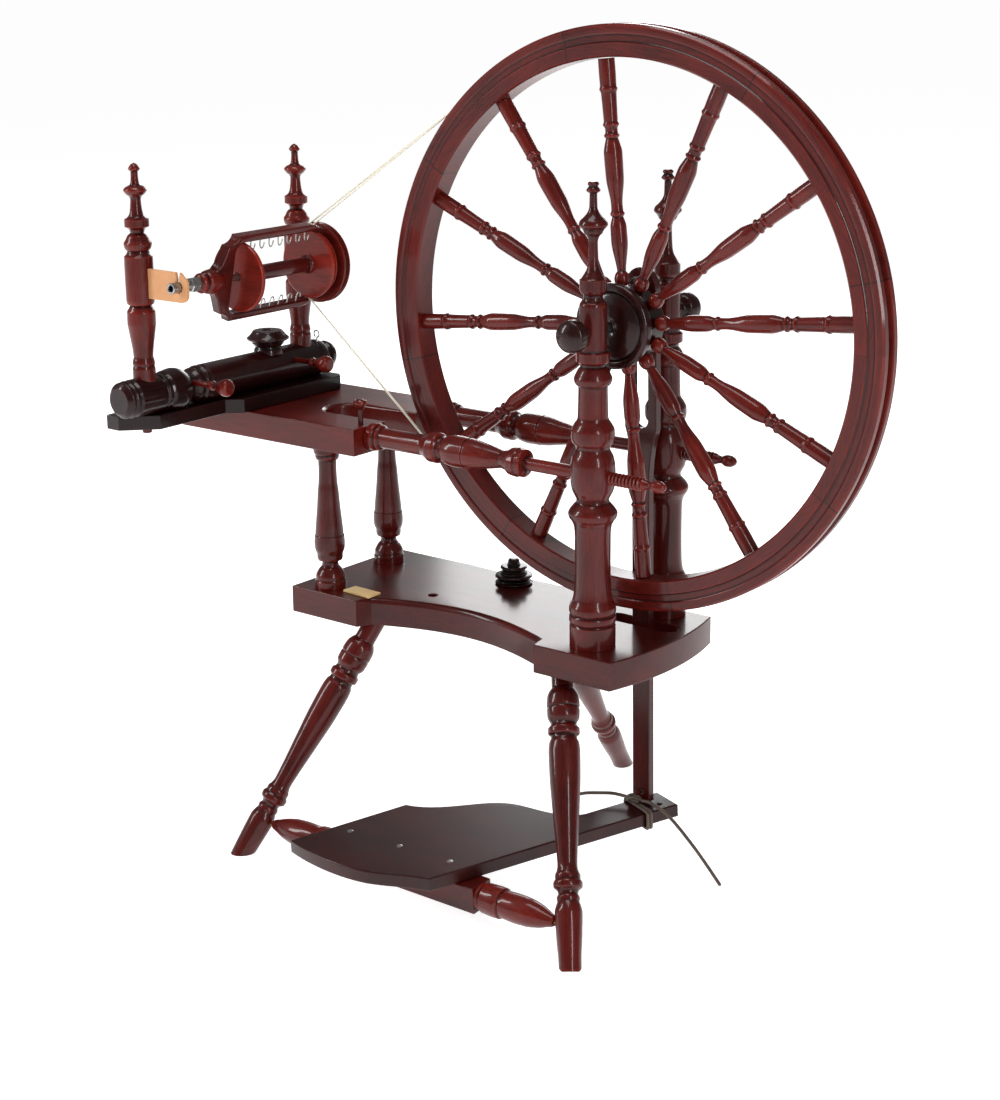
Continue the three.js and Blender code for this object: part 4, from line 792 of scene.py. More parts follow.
# ---- wheel posts ----
# Two tall posts, turned in one piece from the square foot to the acorn finial, carry the axle between them.
POST_OUTLINE = [
    (-335.7, 0), (-335.7, 24.3), (-335.7, 24.3), (-313, 24.3), (-313, 24.3), (-311, 23), (-308, 24.8),
    (-303, 24.6), (-301, 23.2), (-301, 23.2), (-297, 24.8), (-293, 24.6), (-289, 23), (-284, 20.8),
    (-270, 19.3), (-240, 18.8), (-216, 18.9), (-208, 19.3), (-203, 20.3), (-203, 20.3), (-199, 22.5),
    (-195, 25), (-191, 25.8), (-187, 24), (-182, 20), (-179, 17.5), (-176, 17), (-176, 17), (-172, 19),
    (-166, 21.8), (-158, 23.2), (-150, 23.6), (-140, 23.2), (-131, 21.5), (-125, 18.5), (-125, 18.5),
    (-122, 17.5), (-119, 18.5), (-119, 18.5), (-115, 21.5), (-109, 22.7), (-103, 22.5), (-97, 20),
    (-93, 17.2), (-93, 17.2), (-90, 16), (-75, 15.5), (-60, 15.2), (-57, 15.4), (-57, 15.4), (-54, 18.5),
    (-49, 20), (-45, 18.6), (-40, 16), (-36, 13), (-36, 13), (-33, 14.5), (-31, 17.5), (-31, 17.5),
    (-22, 17.5), (-22, 17.5), (-20, 14.4), (-20, 14.4), (26, 14.2), (29, 13.6), (32, 10.6), (36, 9.8),
    (40, 12.6), (42, 14), (42, 14), (53, 14), (53, 14), (54, 12.6), (58, 9.8), (64, 6.6), (70, 5.5),
    (80, 4.9), (91, 4.6), (97, 6.3), (100, 9.2), (103, 10.5), (103, 10.5), (105, 12), (108.5, 14.8),
    (112.5, 13.5), (116, 9.9), (121, 6), (126, 4.2), (140, 3.8), (140, 3.8), (143, 7.2), (147, 4.6),
    (147, 4.6), (149.5, 5.8), (152, 3.5), (152, 0),
]
POST_Y = {"near": -57.5, "far": 77}
for side, y in POST_Y.items():
    post = turned("turned_post_" + side, POST_OUTLINE, spot(0, y, 0), (0, 0, 1), sides=64, step=1.0)
    finish_piece(post, turned_wood, "frame", "mahogany", "wheel_post_" + side)


# ---- axle knobs ----
# Mushroom knobs, nearly black, plug the axle's holes from outside.
KNOB_FACE = 14.9
KNOB_OUTLINE = [
    (KNOB_FACE, 0), (KNOB_FACE, 7), (KNOB_FACE, 7), (21.6, 7.5), (24, 9.5), (26.6, 14), (31, 16.4),
    (34.6, 17),
    (38, 17), (41.6, 16.4), (44, 14.2), (46.6, 10), (48.2, 5), (48.6, 0),
]
for side, way in {"near": (0, -1, 0), "far": (0, 1, 0)}.items():
    knob = turned("mushroom_knob_" + side, KNOB_OUTLINE, spot(0, POST_Y[side], 0), way, sides=48, step=0.9)
    finish_piece(knob, black_wood, "axle_knob_" + side, "dark_mahogany", "axle_knob_" + side)


# ---- arms ----
# Two turned arms tie the table to the posts. Each runs on through its post as a wooden screw with a ball
# finial.
ARM_HEIGHT = FLOOR + 471.5
screw_thread = []
for i in range(9):
    screw_thread += [(22 + 4.4 * i, 5.2), (23.4 + 4.4 * i, 7), (24.6 + 4.4 * i, 7), (26 + 4.4 * i, 5.2)]
ARM_OUTLINE = [
    (-304.7, 0), (-304.7, 13), (-304.7, 13), (-303, 15.8), (-297, 15.8), (-293, 12.6), (-293, 12.6),
    (-290, 14.4), (-286, 11.6), (-286, 11.6), (-228, 11.6), (-220, 14.5), (-220, 14.5), (-214, 17),
    (-206, 17), (-201, 13), (-197, 12.5), (-197, 12.5), (-192, 16), (-180, 17.6), (-165, 17.2),
    (-165, 17.2), (-164, 16.2), (-163, 16.9), (-140, 13.5), (-118, 9.4), (-118, 9.4), (-110, 11.5),
    (-104, 15), (-96, 16), (-96, 16), (-94, 15), (-88, 15),
    (-85, 9), (-85, 9), (-84, 7), (20, 7), *screw_thread, (63, 6.4), (68, 4.6), (72, 4), (75, 5.4), (78, 6.5),
    (82, 6.4), (86, 5), (89, 2.6), (90, 0),
]
arm_wood = lacquered_wood("mahogany_stained_arms", "#200403", "#540f09", "#7d2115", fleck=0.45)
for side, y in POST_Y.items():
    arm = turned("turned_arm_" + side, ARM_OUTLINE, spot(0, y, ARM_HEIGHT), (1, 0, 0), step=0.9)
    finish_piece(arm, arm_wood, "frame", "red_mahogany", "arm_" + side)


# ---- the log that holds the flyer ----
# A nearly black turned log lies on a thin sliding plate; both stand out past the table towards the spinner.
LOG_X = -500
LOG_NEAR = -258
PLATE_LOW, PLATE_TOP = TABLE_TOP + 0.3, TABLE_TOP + 17
LOG_HEIGHT = FLOOR + 521.8
plate_outline = [
    (-34, LOG_NEAR + 11), (-15, LOG_NEAR + 11), (18, LOG_NEAR + 44), (18, -112), (34, -97), (34, 68),
    (26, 76),
    (-34, 76),
]
plate = eased_board(
    "log_plate_eased", [plate_outline], PLATE_LOW, PLATE_TOP, 1.2, Matrix.Translation(spot(LOG_X, 0, 0) )
)
plate_wood = lacquered_wood("ebonised_board", "#070201", "#140403", "#2d0906", grain="Y", gloss=0.12,
    fleck=0.4)
finish_piece(plate, plate_wood, "frame", "dark_mahogany", "mother_of_all_plate")

MAIDEN_Y = {"near": -218, "far": 36}
dowel = turned(
    "maiden_dowel_end", [(-4.8, 0), (-4.8, 4.6), (-4, 5.4), (0, 5.5), (0, 5.5), (3, 5.5), (3, 0)],
    spot(LOG_X, MAIDEN_Y["near"], PLATE_LOW), (0, 0, 1), sides=32, step=0.6,
)
finish_piece(dowel, turned_wood, "frame", "mahogany")

LOG_OUTLINE = [
    (-258, 0), (-258, 14.6), (-258, 14.6), (-255.6, 17.5), (-252, 20.6), (-249, 19.6), (-249, 19.6),
    (-245.5, 21.4), (-242, 20), (-242, 20), (-239, 21.5), (-239, 21.5), (-203, 21.5), (-203, 21.5),
    (-201, 19.6), (-198, 21.5), (-194, 21.2), (-194, 21.2), (-190, 23.2), (-184, 24), (-176, 24.8),
    (-168, 23), (-160, 18.4), (-156, 16), (-156, 16), (-152, 17.4), (-146, 20), (-142, 19), (-142, 19),
    (-138, 21.5), (-134, 20), (-134, 20), (-130, 21.5), (-130, 21.5), (50, 21.5), (50, 21.5), (52, 20),
    (56, 21.5), (64, 20.8), (68, 16), (72, 14.6), (72, 14.6), (77, 17), (82, 16), (86, 11), (88, 6),
    (88, 0),
]
log = turned("flyer_log", LOG_OUTLINE, spot(LOG_X, 0, LOG_HEIGHT), ALONG_AXLE, sides=72, step=1.0)
finish_piece(log, black_wood, "frame", "dark_mahogany", "mother_of_all")


# ---- maidens ----
# Two turned uprights stand in the log and hold the leathers that the flyer turns in.
MAIDEN_SEAT = LOG_HEIGHT + 16.8
MAIDEN_OUTLINE = [
    (0, 0), (0, 12.8), (0, 12.8), (14, 12.8), (17.5, 12), (17.5, 12), (20.5, 12.6), (24.5, 11.9),
    (24.5, 11.9), (27.5, 11.1), (33, 11.4), (44, 12.8), (54, 14.4), (61, 15.4), (65.5, 16), (78.5, 15.8),
    (82.5, 13.7), (85.5, 12), (85.5, 12), (88.5, 15.3), (92.4, 15.8), (92.4, 15.8), (120, 16),
    (140.4, 15.9), (140.4, 15.9), (143.4, 13), (146.4, 12), (146.4, 12), (149.4, 14.6), (154.4, 15.6),
    (159.4, 13), (163.4, 11), (166.4, 7.5), (166.4, 7.5), (170.4, 9), (173.4, 13.6), (173.4, 13.6),
    (181.4, 13.6), (181.4, 13.6), (183.4, 10.3), (186.4, 8), (190.4, 6.9), (196.4, 6.2), (203.4, 5.8),
    (206.4, 7), (206.4, 7), (209.4, 10.7), (213.4, 13), (216.4, 10.7), (219.4, 5.5), (223.4, 4.4), (229, 4),
    (229, 4), (233.4, 4), (233.4, 4), (236.4, 6.5), (239.4, 5), (241.6, 3), (243, 0),
]
maiden_wood = lacquered_wood("mahogany_stained_maidens", "#1a0302", "#530d07", "#7e1f12", gloss=0.08,
    fleck=0.4)
for side, y in MAIDEN_Y.items():
    maiden = turned("turned_maiden_" + side, MAIDEN_OUTLINE, spot(LOG_X, y, MAIDEN_SEAT), (0, 0, 1), step=0.9)
    finish_piece(maiden, maiden_wood, "frame", "red_mahogany", "maiden_" + side)


# ---- leathers ----
# Thick tan leather plates, cut by hand, pass through the maidens; a slit from the top edge lets the flyer
# be lifted out of each. The free flap past the slit curls a little; the burnished darker cut edges are not
# drawn.
tan_leather = leather("vegetable_tanned_leather", "#a8683a", "#cf9463", "#e2ae80", 0.9, 0.55, 0.1)
FLYER_X, FLYER_HEIGHT = -437, FLOOR + 650
eye_x = FLYER_X - LOG_X
ORIFICE_RADIUS, SHAFT_RADIUS = 6, 4.5
facing_spinner = Matrix(((1, 0, 0, 0), (0, 0, -1, 0), (0, 1, 0, 0), (0, 0, 0, 1)))
for side, y in MAIDEN_Y.items():
    eye = (ORIFICE_RADIUS if side == "near" else SHAFT_RADIUS) + 0.5
    opening = math.degrees(math.asin(2 / eye))
    leather_outline = [
        (-3.5, -16.8), (64, -16.8), *arc(67, -8, 8.8, -80, 0, 10), (75.8, 6), (74, 9.5), (70, 13),
        (eye_x + 3.4, 16.4),
        (eye_x + 2, 10), *reversed(arc(eye_x, 0, eye, 90 + opening - 360, 90 - opening, 40)),
        (eye_x - 2, 9), (eye_x - 3.4, 16.2), (-3.5, 16.8),
    ]
    strip = eased_board(
        "leather_plate_" + side, [leather_outline], -1.9, 1.9, 0.6,
        Matrix.Translation(spot(LOG_X, y, FLYER_HEIGHT)) @ facing_spinner,
    )
    for vertex in strip.data.vertices:
        past = max(0.0, vertex.co.x / MM - eye_x - 2)
        vertex.co.z -= 0.011 * past**2 * MM
    finish_piece(strip, tan_leather, "frame", "tan_leather", "leather_" + side)


# ---- tension knob ----
# A turned knob with a shallow round recess in its flat top. In the real wheel it tightens the band.
TENSION_OUTLINE = [
    (0, 0), (0, 17.6), (0, 17.6), (5, 17), (8, 15.4), (9, 15.2), (9, 15.2), (10.5, 17), (13, 19), (13, 19),
    (14, 18.4), (16, 22), (18, 25), (19.5, 25), (19.5, 25), (21, 23), (24, 20.2), (26, 18.6), (26, 18.6),
    (27.4, 17.8), (28, 16.4), (28, 7), (28, 7), (26.8, 6.4), (26.8, 0),
]
tension_knob = turned(
    "slotted_tension_knob", TENSION_OUTLINE, spot(LOG_X, -20, MAIDEN_SEAT), (0, 0, 1), sides=64, step=0.8
)
finish_piece(tension_knob, black_wood, "tension_knob", "dark_mahogany", "tension_knob")


# ---- brake pegs and eye hook ----
# Two turned pegs in the side of the log, like violin pegs, and a bright wire eye beside the far one.
PEG_HEIGHT = LOG_HEIGHT + 7
PEG_OUTLINE = [
    (7, 0), (7, 3.1), (7, 3.1), (24, 3.3), (40, 3.5), (43.5, 3.7), (43.5, 3.7), (45, 5.2), (47.4, 5.6),
    (49.6, 5), (51, 4), (51, 4), (54, 4.6), (60, 7.4), (65, 9.4), (68.4, 10), (71.6, 9.6), (73.6, 8.4),
    (74.8, 6), (75, 0),
]
for side, y in {"near": -159, "far": 6}.items():
    peg = turned("turned_peg_" + side, PEG_OUTLINE, spot(LOG_X, y, PEG_HEIGHT), (1, 0, 0), sides=36, step=0.8)
    finish_piece(peg, maiden_wood, "brake_peg_" + side, "red_mahogany", "brake_peg_" + side)

white_metal = ground_metal("bright_plated_wire", "#d8d8d4", 0.22)
hook_middle = spot(LOG_X + 8, 56, LOG_HEIGHT + 21.5 - 3 + 11)
hook_line = [hook_middle + Vector((0, 0, -15)) * MM, hook_middle + Vector((0, 0, -6.5)) * MM]
for k in range(25):
    angle = math.radians(-80 + 325 * k / 24)
    hook_line.append(hook_middle + Vector((4.2 * math.cos(angle), 0, 4.2 * math.sin(angle))) * MM)
eye_hook = cord_piece("wire_eye_hook", hook_line, 0.9, white_metal)
finish_piece(eye_hook, white_metal, "frame", "steel", "eye_hook")


# ---- flyer ----
# A U-shaped wooden yoke turns round the bobbin. Its neck is turned with two rings, steel wire hooks guide
# the yarn along its arms, and a hollow steel orifice with a hexagon collar carries it in the near leather.
FLYER_TURN = math.radians(13)
FLYER_MIDDLE = spot(FLYER_X, 0, FLYER_HEIGHT)
across = Vector((math.cos(FLYER_TURN), 0, -math.sin(FLYER_TURN)))
up = Vector((math.sin(FLYER_TURN), 0, math.cos(FLYER_TURN)))
flyer_place = Matrix.Translation(FLYER_MIDDLE) @ Matrix(
    ((0, up.x, across.x, 0), (1, up.y, across.y, 0), (0, up.z, across.z, 0), (0, 0, 0, 1))
)
ARM_INNER, ARM_OUTER, ARM_TIP, NECK, BEND = 41.6, 49.9, -9.2, -182, -146
half_yoke = [
    (NECK + 4, 10.6), (NECK + 14, 13), (NECK + 20, 20), (BEND - 8, ARM_OUTER - 10.5),
    *[(BEND - 8 + 14 * math.sin(a), ARM_OUTER - 10.5 + 10.5 * (1 - math.cos(a)))
      for a in (math.pi / 2 * k / 8 for k in range(1, 9))],
    (ARM_TIP - 12, ARM_OUTER), (ARM_TIP - 4, ARM_OUTER - 1.6), (ARM_TIP, ARM_OUTER - 4), (ARM_TIP, ARM_INNER),
    *[(BEND + 4 + 12 * (1 - math.sin(a)), ARM_INNER - 12 * (1 - math.cos(a)))
      for a in (math.pi / 2 * k / 8 for k in range(0, 9))],
]
yoke_outline = half_yoke + [(along, -out) for along, out in reversed(half_yoke)]
yoke = eased_board("flyer_yoke_shaped", [yoke_outline], -6.9, 6.9, 2.6, flyer_place)
yoke_wood = lacquered_wood("mahogany_stained_yoke", "#1b0403", "#410b07", "#6b1910", grain="X", gloss=0.09)
finish_piece(yoke, yoke_wood, "flyer", "mahogany", "flyer_yoke")

YOKE_NECK_OUTLINE = [
    (-189.5, 0), (-189.5, 8.4), (-189.5, 8.4), (-188.4, 10), (-185.6, 11.4), (-182.4, 10.6), (-181, 9.4),
    (-181, 9.4), (-179.6, 11.6), (-176, 13.2), (-171, 13.8), (-166, 13.4), (-160, 11.6), (-156, 9),
    (-150, 0),
]
neck = turned("flyer_neck_rings", YOKE_NECK_OUTLINE, FLYER_MIDDLE, ALONG_AXLE, sides=48, step=0.7)
finish_piece(neck, maiden_wood, "flyer", "red_mahogany")

HOOK_SPACING, HOOK_COUNT, FIRST_HOOK = 14.6, 7, -118
HOOK_BEND = [(0, -2), (0.2, 3), (0.8, 7), (2.2, 10), (4.4, 11), (6.2, 9.4), (7, 6.4), (7.2, 4)]
for arm_name, facing in (("upper", 1), ("lower", -1)):
    for i in range(HOOK_COUNT):
        start = FIRST_HOOK + HOOK_SPACING * i
        bend = [
            flyer_place @ (Vector((start + along, facing * (ARM_INNER + 0.5 - inward), 3.5)) * MM)
            for along, inward in HOOK_BEND
        ]
        hook = cord_piece(f"wire_hook_{arm_name}_{i + 1}", bent_line(bend, 4), 0.75, steel)
        finish_piece(hook, steel, "flyer", "steel")

SPINDLE_OUTLINE = [
    (-205, 0), (-205, 3.8), (-205, 3.8), (-230.4, 3.8), (-230.4, 3.8), (-231, 4.5), (-231, 5.4),
    (-230.4, 6), (-230.4, 6), (-203, 6), (-203, 6), (-203, 4.4), (43, 4.4), (43, 4.4), (43, 0),
]
spindle = turned("flyer_spindle_steel", SPINDLE_OUTLINE, FLYER_MIDDLE, ALONG_AXLE, sides=48)
finish_piece(spindle, steel, "flyer", "steel", "flyer_spindle")
HEX_OUTLINE = [(-203, 0), (-203, 7.2), (-203, 7.2), (-201.8, 8.3), (-201.8, 8.3), (-189.5, 8.3),
    (-189.5, 8.3), (-189.5, 0)]
collar = turned(
    "flyer_hexagon_collar", HEX_OUTLINE, FLYER_MIDDLE, ALONG_AXLE, sides=6, step=20, facets=True
)
finish_piece(collar, steel, "flyer", "steel")

WHORL_OUTLINE = [
    (-1, 4.8), (-1, 45.6), (-1, 45.6), (0, 46.7), (0.4, 46.7), (0.4, 46.7), (3, 42), (5, 42), (7.6, 46.7),
    (7.6, 46.7), (8, 46.7), (9, 45.6), (9, 45.6), (9, 20), (9, 20), (8.2, 18), (8.2, 4.8), (8.2, 4.8),
    (-1, 4.8),
]
whorl = turned("flyer_drive_whorl", WHORL_OUTLINE, FLYER_MIDDLE, ALONG_AXLE, sides=72, step=1.0)
finish_piece(whorl, yoke_wood, "flyer", "mahogany", "flyer_whorl")


# ---- bobbin ----
# A turned core with a flat disc at each end; the far disc is thicker and carries its own groove for the
# band.
disc_wood = lacquered_wood("mahogany_stained_discs", "#260503", "#5d120c", "#912818", grain="X", gloss=0.1,
    fleck=0.6)
NEAR_DISC = [
    (-129, 5), (-129, 38.8), (-128, 39.8), (-126.3, 40), (-124.6, 39.8), (-123.6, 38.8), (-123.6, 38.8),
    (-123.6, 5), (-123.6, 5), (-129, 5),
]
FAR_DISC = [
    (-14, 5), (-14, 38.8), (-13.2, 39.8), (-11.6, 40), (-10.2, 39.6), (-10.2, 39.6), (-7.6, 34), (-5.6, 34),
    (-3.6, 37), (-3, 36.4), (-3, 36.4), (-3, 5), (-3, 5), (-14, 5),
]
CORE = [
    (-123.6, 5), (-123.6, 11.4), (-123.6, 11.4), (-121, 11), (-118.6, 8.7), (-118.6, 8.7), (-19, 8.7),
    (-16.6, 11), (-14.2, 11.4), (-14.2, 11.4), (-14.2, 5), (-14.2, 5), (-123.6, 5),
]
for name, outline, wood, node_name in (
    ("bobbin_disc_near", NEAR_DISC, disc_wood, "bobbin_near_disc"),
    ("bobbin_disc_far", FAR_DISC, disc_wood, "bobbin_far_disc"),
    ("bobbin_core_turned", CORE, turned_wood, "bobbin_core"),
):
    piece = turned(name, outline, FLYER_MIDDLE, ALONG_AXLE, sides=64, step=1.0)
    finish_piece(piece, wood, "bobbin", "mahogany" if outline is CORE else "red_mahogany", node_name)


# ---- drive band ----
# One pale twisted cotton cord goes twice round the wheel: one round drives the whorl, the other the bobbin,
# and they cross once on the lower run.
def twisted_cotton(name, dark, light, strand_mm, radius_mm):
    """Twisted cotton: matt pale strands that wind round the cord, with painted shade as darker lines in the
    grooves where they meet.
    """
    material, tree, shader, place = new_material(name)
    strands = add_node(
        tree, "TexWave",
        [("Vector", place), ("Scale", 1 / (strand_mm * MM) / 6.3), ("Distortion", 1.2), ("Detail", 2)],
        bands_direction="DIAGONAL",
    )
    fuzz = add_node(tree, "TexNoise", [("Vector", place), ("Scale", 2 / (radius_mm * MM)), ("Detail", 4)])
    mixed = add_node(
        tree, "Math", [(0, strands.outputs["Fac"]), (1, 0.7), (2, fuzz.outputs["Fac"])],
        operation="MULTIPLY_ADD",
    )
    share = add_node(tree, "MapRange", [("Value", mixed.outputs["Value"]), ("From Max", 1.3)])
    # Painted shade: the low grooves between the strands take the darker colour.
    tone = blend(tree, share.outputs["Result"], linear(dark), linear(light))
    tree.links.new(tone, shader.inputs["Base Color"])
    relief = add_node(
        tree, "Bump", [("Height", mixed.outputs["Value"]), ("Distance", 0.2 * MM), ("Strength", 0.7)]
    )
    tree.links.new(relief.outputs["Normal"], shader.inputs["Normal"])
    shader.inputs["Roughness"].default_value = 0.85
    shader.inputs["Sheen Weight"].default_value = 0.3
    return material


BAND_RADIUS = 1.0
BAND_LANE = 1.2
BAND_LIFT = BAND_RADIUS + 0.6


def band_round(wheel_radius, wheel_y, pulley_radius, pulley_y):
    """One round of the band: over the wheel, along the upper run, and round the pulley."""
    centre_x, centre_z = FLYER_X, FLYER_HEIGHT
    distance, lean = math.hypot(centre_x, centre_z), math.atan2(centre_z, centre_x)
    wrap = math.acos((wheel_radius - pulley_radius) / distance)
    line = []
    for k in range(121):
        angle = lean + wrap + (2 * math.pi - 2 * wrap) * k / 120
        line.append((wheel_radius * math.cos(angle), wheel_y, wheel_radius * math.sin(angle)))
    for k in range(25):
        angle = lean - wrap + 2 * wrap * k / 24
        line.append(
            (centre_x + pulley_radius * math.cos(angle), pulley_y, centre_z + pulley_radius * math.sin(angle))
        )
    return [spot(*point) for point in line]


first_round = band_round(298 + BAND_LIFT, BAND_LANE, 42 + BAND_LIFT, 4)
second_round = band_round(298 + BAND_LIFT, -BAND_LANE, 34 + BAND_LIFT, -6.5)
cotton = twisted_cotton("twisted_cotton_cord", "#b9b096", "#f1ecda", 0.8, BAND_RADIUS)
band = cord_piece("cotton_drive_band", first_round + second_round, BAND_RADIUS, cotton, closed=True)
finish_piece(band, cotton, "frame", "cotton_cord", "drive_band")


# ---- treadle ----
# A broad foot board narrows into a lever that reaches back under the crank. Three screws hold it to a
# square bar, whose bullet-turned ends swing on brass pins in the front legs.
def bezier(a, b, c, d, steps=14):
    points = []
    for k in range(1, steps + 1):
        t = k / steps
        share = ((1 - t) ** 3, 3 * t * (1 - t) ** 2, 3 * t**2 * (1 - t), t**3)
        points.append(tuple(sum(s * p[i] for s, p in zip(share, (a, b, c, d))) for i in (0, 1)))
    return points


treadle_outline = [
    (-266, -60), *bezier((-266, -60), (-235, -70), (-185, -76), (-150, -68)),
    *bezier((-150, -68), (-124, -61), (-108, -49), (-82, -44)), (41, 239), (5, 252), (-32, 166),
    *bezier((-32, 166), (-46, 144), (-75, 147), (-105, 144)),
    *bezier((-105, 144), (-150, 140), (-163, 84), (-215, 75)),
]
LACE_HOLES = [(8, 234), (24, 228)]
SCREWS = [(-225, -8), (-156, -5), (-88, -2)]
lace_hole_rims = [arc(x, y, 2.3, 0, 330, 11) for x, y in LACE_HOLES]
treadle_wood = lacquered_wood(
    "mahogany_stained_treadle", "#120303", "#270605", "#420d09", grain="X", gloss=0.2, fleck=0.6
)
treadle = eased_board(
    "treadle_foot_board", [treadle_outline, *lace_hole_rims], LEVER_LOW, LEVER_HIGH, 1.6, treadle_place
)
finish_piece(treadle, treadle_wood, "treadle", "mahogany", "treadle_board")

for i, (x, y) in enumerate(SCREWS, 1):
    head = [(-2.5, 0), (-2.5, 2.2), (-1.8, 4.7), (-1.8, 4.7), (-0.6, 4.6), (0.1, 3), (0.2, 0)]
    screw = turned(
        f"treadle_screw_head_{i}", head, treadle_place @ (Vector((x, y, LEVER_HIGH)) * MM),
        treadle_place.to_3x3() @ Vector((0, 0, 1)), sides=32, step=0.5,
    )
    finish_piece(screw, steel, "treadle", "steel", f"treadle_screw_{i}")

BAR_LEFT, BAR_RIGHT = -351, 47.5
square = [(-248, -15), (-48, -15), (-48, 15), (-248, 15)]
bar = eased_board("treadle_bar_square", [square], -14.9, 14.9, 1.8, treadle_place)
bar_wood = lacquered_wood("mahogany_stained_bar", "#1b0403", "#3f0b06", "#67170f", grain="X", gloss=0.14)
finish_piece(bar, bar_wood, "treadle", "red_mahogany", "treadle_bar")
BULLET = [
    (0, 0), (0, 14.6), (0, 14.6), (3.5, 12), (3.5, 12), (7, 16.4), (7, 16.4), (22, 17), (28, 16.6),
    (28, 16.6), (29.5, 14.4), (29.5, 14.4), (34, 15), (48, 15.6), (62, 14.9), (76, 12.2), (88, 8),
    (95.5, 4.4), (95.5, 0),
]
for side, x, way in (("left", -248, (-1, 0, 0)), ("right", -48, (1, 0, 0))):
    reach = (BAR_RIGHT + 48 if side == "right" else -248 - BAR_LEFT) / 95.5
    outline = [(along * reach, radius) for along, radius in BULLET]
    end = turned("treadle_bar_end_" + side, outline, treadle_place @ (Vector((x, 0, 0)) * MM), way, sides=48)
    finish_piece(end, arm_wood, "treadle", "red_mahogany")

brass = ground_metal("worn_brass_pin", "#c79a4a", 0.3)
for side, x, way in (("left", BAR_LEFT, (-1, 0, 0)), ("right", BAR_RIGHT, (1, 0, 0))):
    pin_outline = [(-13, 0), (-13, 2.5), (-13, 2.5), (10.4, 2.5), (10.4, 2.5), (10.6, 2.2), (10.6, 0)]
    pin = turned("brass_pivot_pin_" + side, pin_outline, treadle_place @ (Vector((x, 0, 0)) * MM), way,
        sides=28)
    finish_piece(pin, brass, "treadle", "brass", "pivot_pin_" + side)


# ---- footman ----
# A flat wooden bar that hangs behind the wheel: the crank pin meets its head, a long eye clears the axle,
# and the lace ties its foot to the treadle's lever.
tie = treadle_place @ (Vector((14, 226, LEVER_HIGH)) * MM)
foot_z = (tie.z - AXLE.z) / MM + 2
HEAD_TOP, EYE_LOW, EYE_HIGH = 54, -118, 30
BAR_HALF, HEAD_HALF, EYE_HALF, FOOT_X, HEAD_X = 11, 20, 9.5, 3.5, -3


def footman_middle(z):
    return FOOT_X + (HEAD_X - FOOT_X) / (HEAD_TOP - foot_z) * (z - foot_z)


right_edge = [(BAR_HALF, foot_z), (BAR_HALF, EYE_LOW - 60)]
FLARE_LENGTH = 60
for t in (k / 10 for k in range(1, 11)):
    right_edge.append((BAR_HALF + (HEAD_HALF - BAR_HALF) * t * t, EYE_LOW - FLARE_LENGTH + FLARE_LENGTH * t))
right_edge += [(HEAD_HALF * math.cos(a), EYE_HIGH + (HEAD_TOP - EYE_HIGH) * math.sin(a))
               for a in (math.pi / 2 * k / 10 for k in range(11))]
left_edge = [(-across_mm, z) for across_mm, z in reversed(right_edge[:-1])]
footman_outline = [(footman_middle(z) + across_mm, z) for across_mm, z in right_edge + left_edge]
eye_outline = arc(footman_middle(EYE_HIGH), EYE_HIGH - EYE_HALF, EYE_HALF, 0, 180)
eye_outline += arc(footman_middle(EYE_LOW), EYE_LOW + EYE_HALF, EYE_HALF, 180, 360)
lace_hole = arc(FOOT_X, foot_z + 10, 2.5, 0, 330, 11)
footman = eased_board(
    "footman_bar", [footman_outline, eye_outline, lace_hole], -39.9, -30.1, 1.2,
    Matrix.Translation(AXLE) @ facing_spinner,
)
footman_wood = lacquered_wood("mahogany_stained_footman", "#160403", "#380906", "#59130c", grain="Y",
    gloss=0.16)
finish_piece(footman, footman_wood, "footman", "mahogany", "footman")


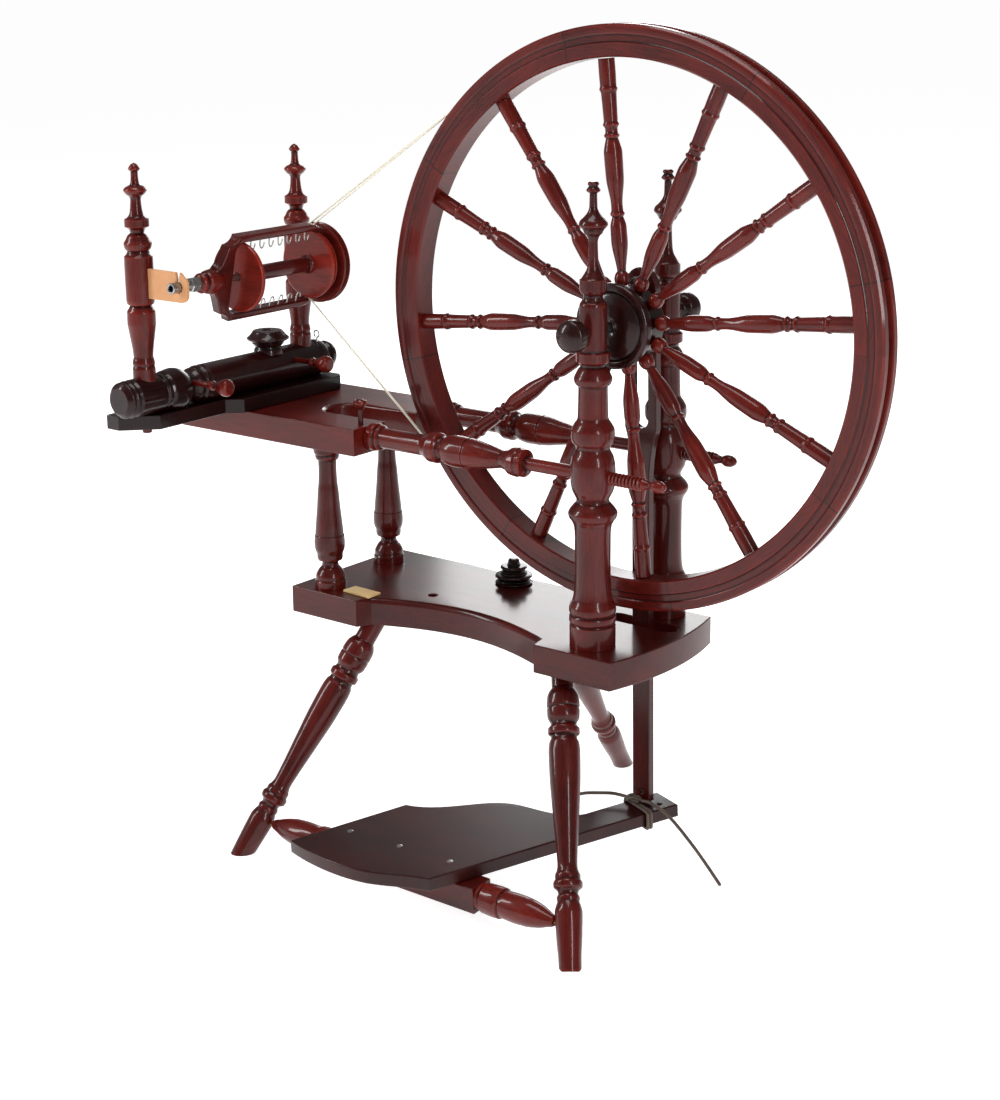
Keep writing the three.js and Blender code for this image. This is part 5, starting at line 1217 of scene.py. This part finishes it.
# ---- small parts on the boards ----
# A blank plate of bare pale wood, a lock peg in the table, and a spare whorl standing on the board.
def bare_wood(name, dark, light, grain_mm):
    """Bare planed pale wood: matt, with fine straight grain lines."""
    material, tree, shader, place = new_material(name)
    sizes = (1 / (12 * grain_mm * MM), 1 / (grain_mm * MM), 1 / (grain_mm * MM))
    along = add_node(tree, "Mapping", [("Vector", place), ("Scale", sizes)])
    grain = add_node(
        tree, "TexNoise", [("Vector", along.outputs["Vector"]), ("Scale", 1.0), ("Detail", 5)]
    )
    tone = blend(tree, grain.outputs["Fac"], linear(dark), linear(light))
    tree.links.new(tone, shader.inputs["Base Color"])
    relief = add_node(
        tree, "Bump", [("Height", grain.outputs["Fac"]), ("Distance", 0.08 * MM), ("Strength", 0.5)]
    )
    tree.links.new(relief.outputs["Normal"], shader.inputs["Normal"])
    shader.inputs["Roughness"].default_value = 0.55
    return material


plate_turn = Matrix.Rotation(math.radians(-3), 4, "Z")
blank_plate = eased_board(
    "blank_wood_plate", [[(-20, -10), (20, -10), (20, 10), (-20, 10)]], 0.3, 3, 0.4,
    Matrix.Translation(spot(-315, -70, BOARD_TOP)) @ plate_turn,
)
pale_wood = bare_wood("bare_planed_lime", "#b9904f", "#e9cf98", 1.2)
finish_piece(blank_plate, pale_wood, "frame", "pale_wood", "name_plate")

LOCK_PEG_OUTLINE = [
    (-12.9, 0), (-12.9, 3), (-12.9, 3), (16, 3.2), (17.5, 3.4), (17.5, 3.4), (19, 4.6), (22, 6.6),
    (25, 7.7), (27, 7.4), (28.4, 6), (28.4, 6), (28, 5), (29, 3.6), (29.4, 2), (29.5, 0),
]
lock_peg = turned("turned_lock_peg", LOCK_PEG_OUTLINE, spot(-317, -62, TABLE_TOP), (0, 0, 1), sides=36,
    step=0.6)
finish_piece(lock_peg, arm_wood, "lock_peg", "red_mahogany", "lock_peg")

SPARE_OUTLINE = [
    (0.3, 0), (0.3, 20), (0.3, 20), (1.2, 21.6), (2, 21.6), (2, 21.6), (5, 18.6), (6, 18.6), (9, 21.6),
    (9, 21.6), (10, 21.6), (11.4, 20), (12, 15.6), (12, 15.6), (13, 15.6), (15.6, 13.4), (16.6, 13.4),
    (19, 15.6), (19, 15.6), (20.4, 15.4), (21.6, 13.6), (21.8, 8), (21.8, 8), (23, 7.4), (28, 6.4),
    (29.4, 5.4), (30, 4), (30, 0),
]
spare = turned("spare_whorl_turned", SPARE_OUTLINE, spot(-200, 66, BOARD_TOP), (0, 0, 1), sides=56, step=0.7)
finish_piece(spare, black_wood, "spare_whorl", "dark_mahogany", "spare_whorl")
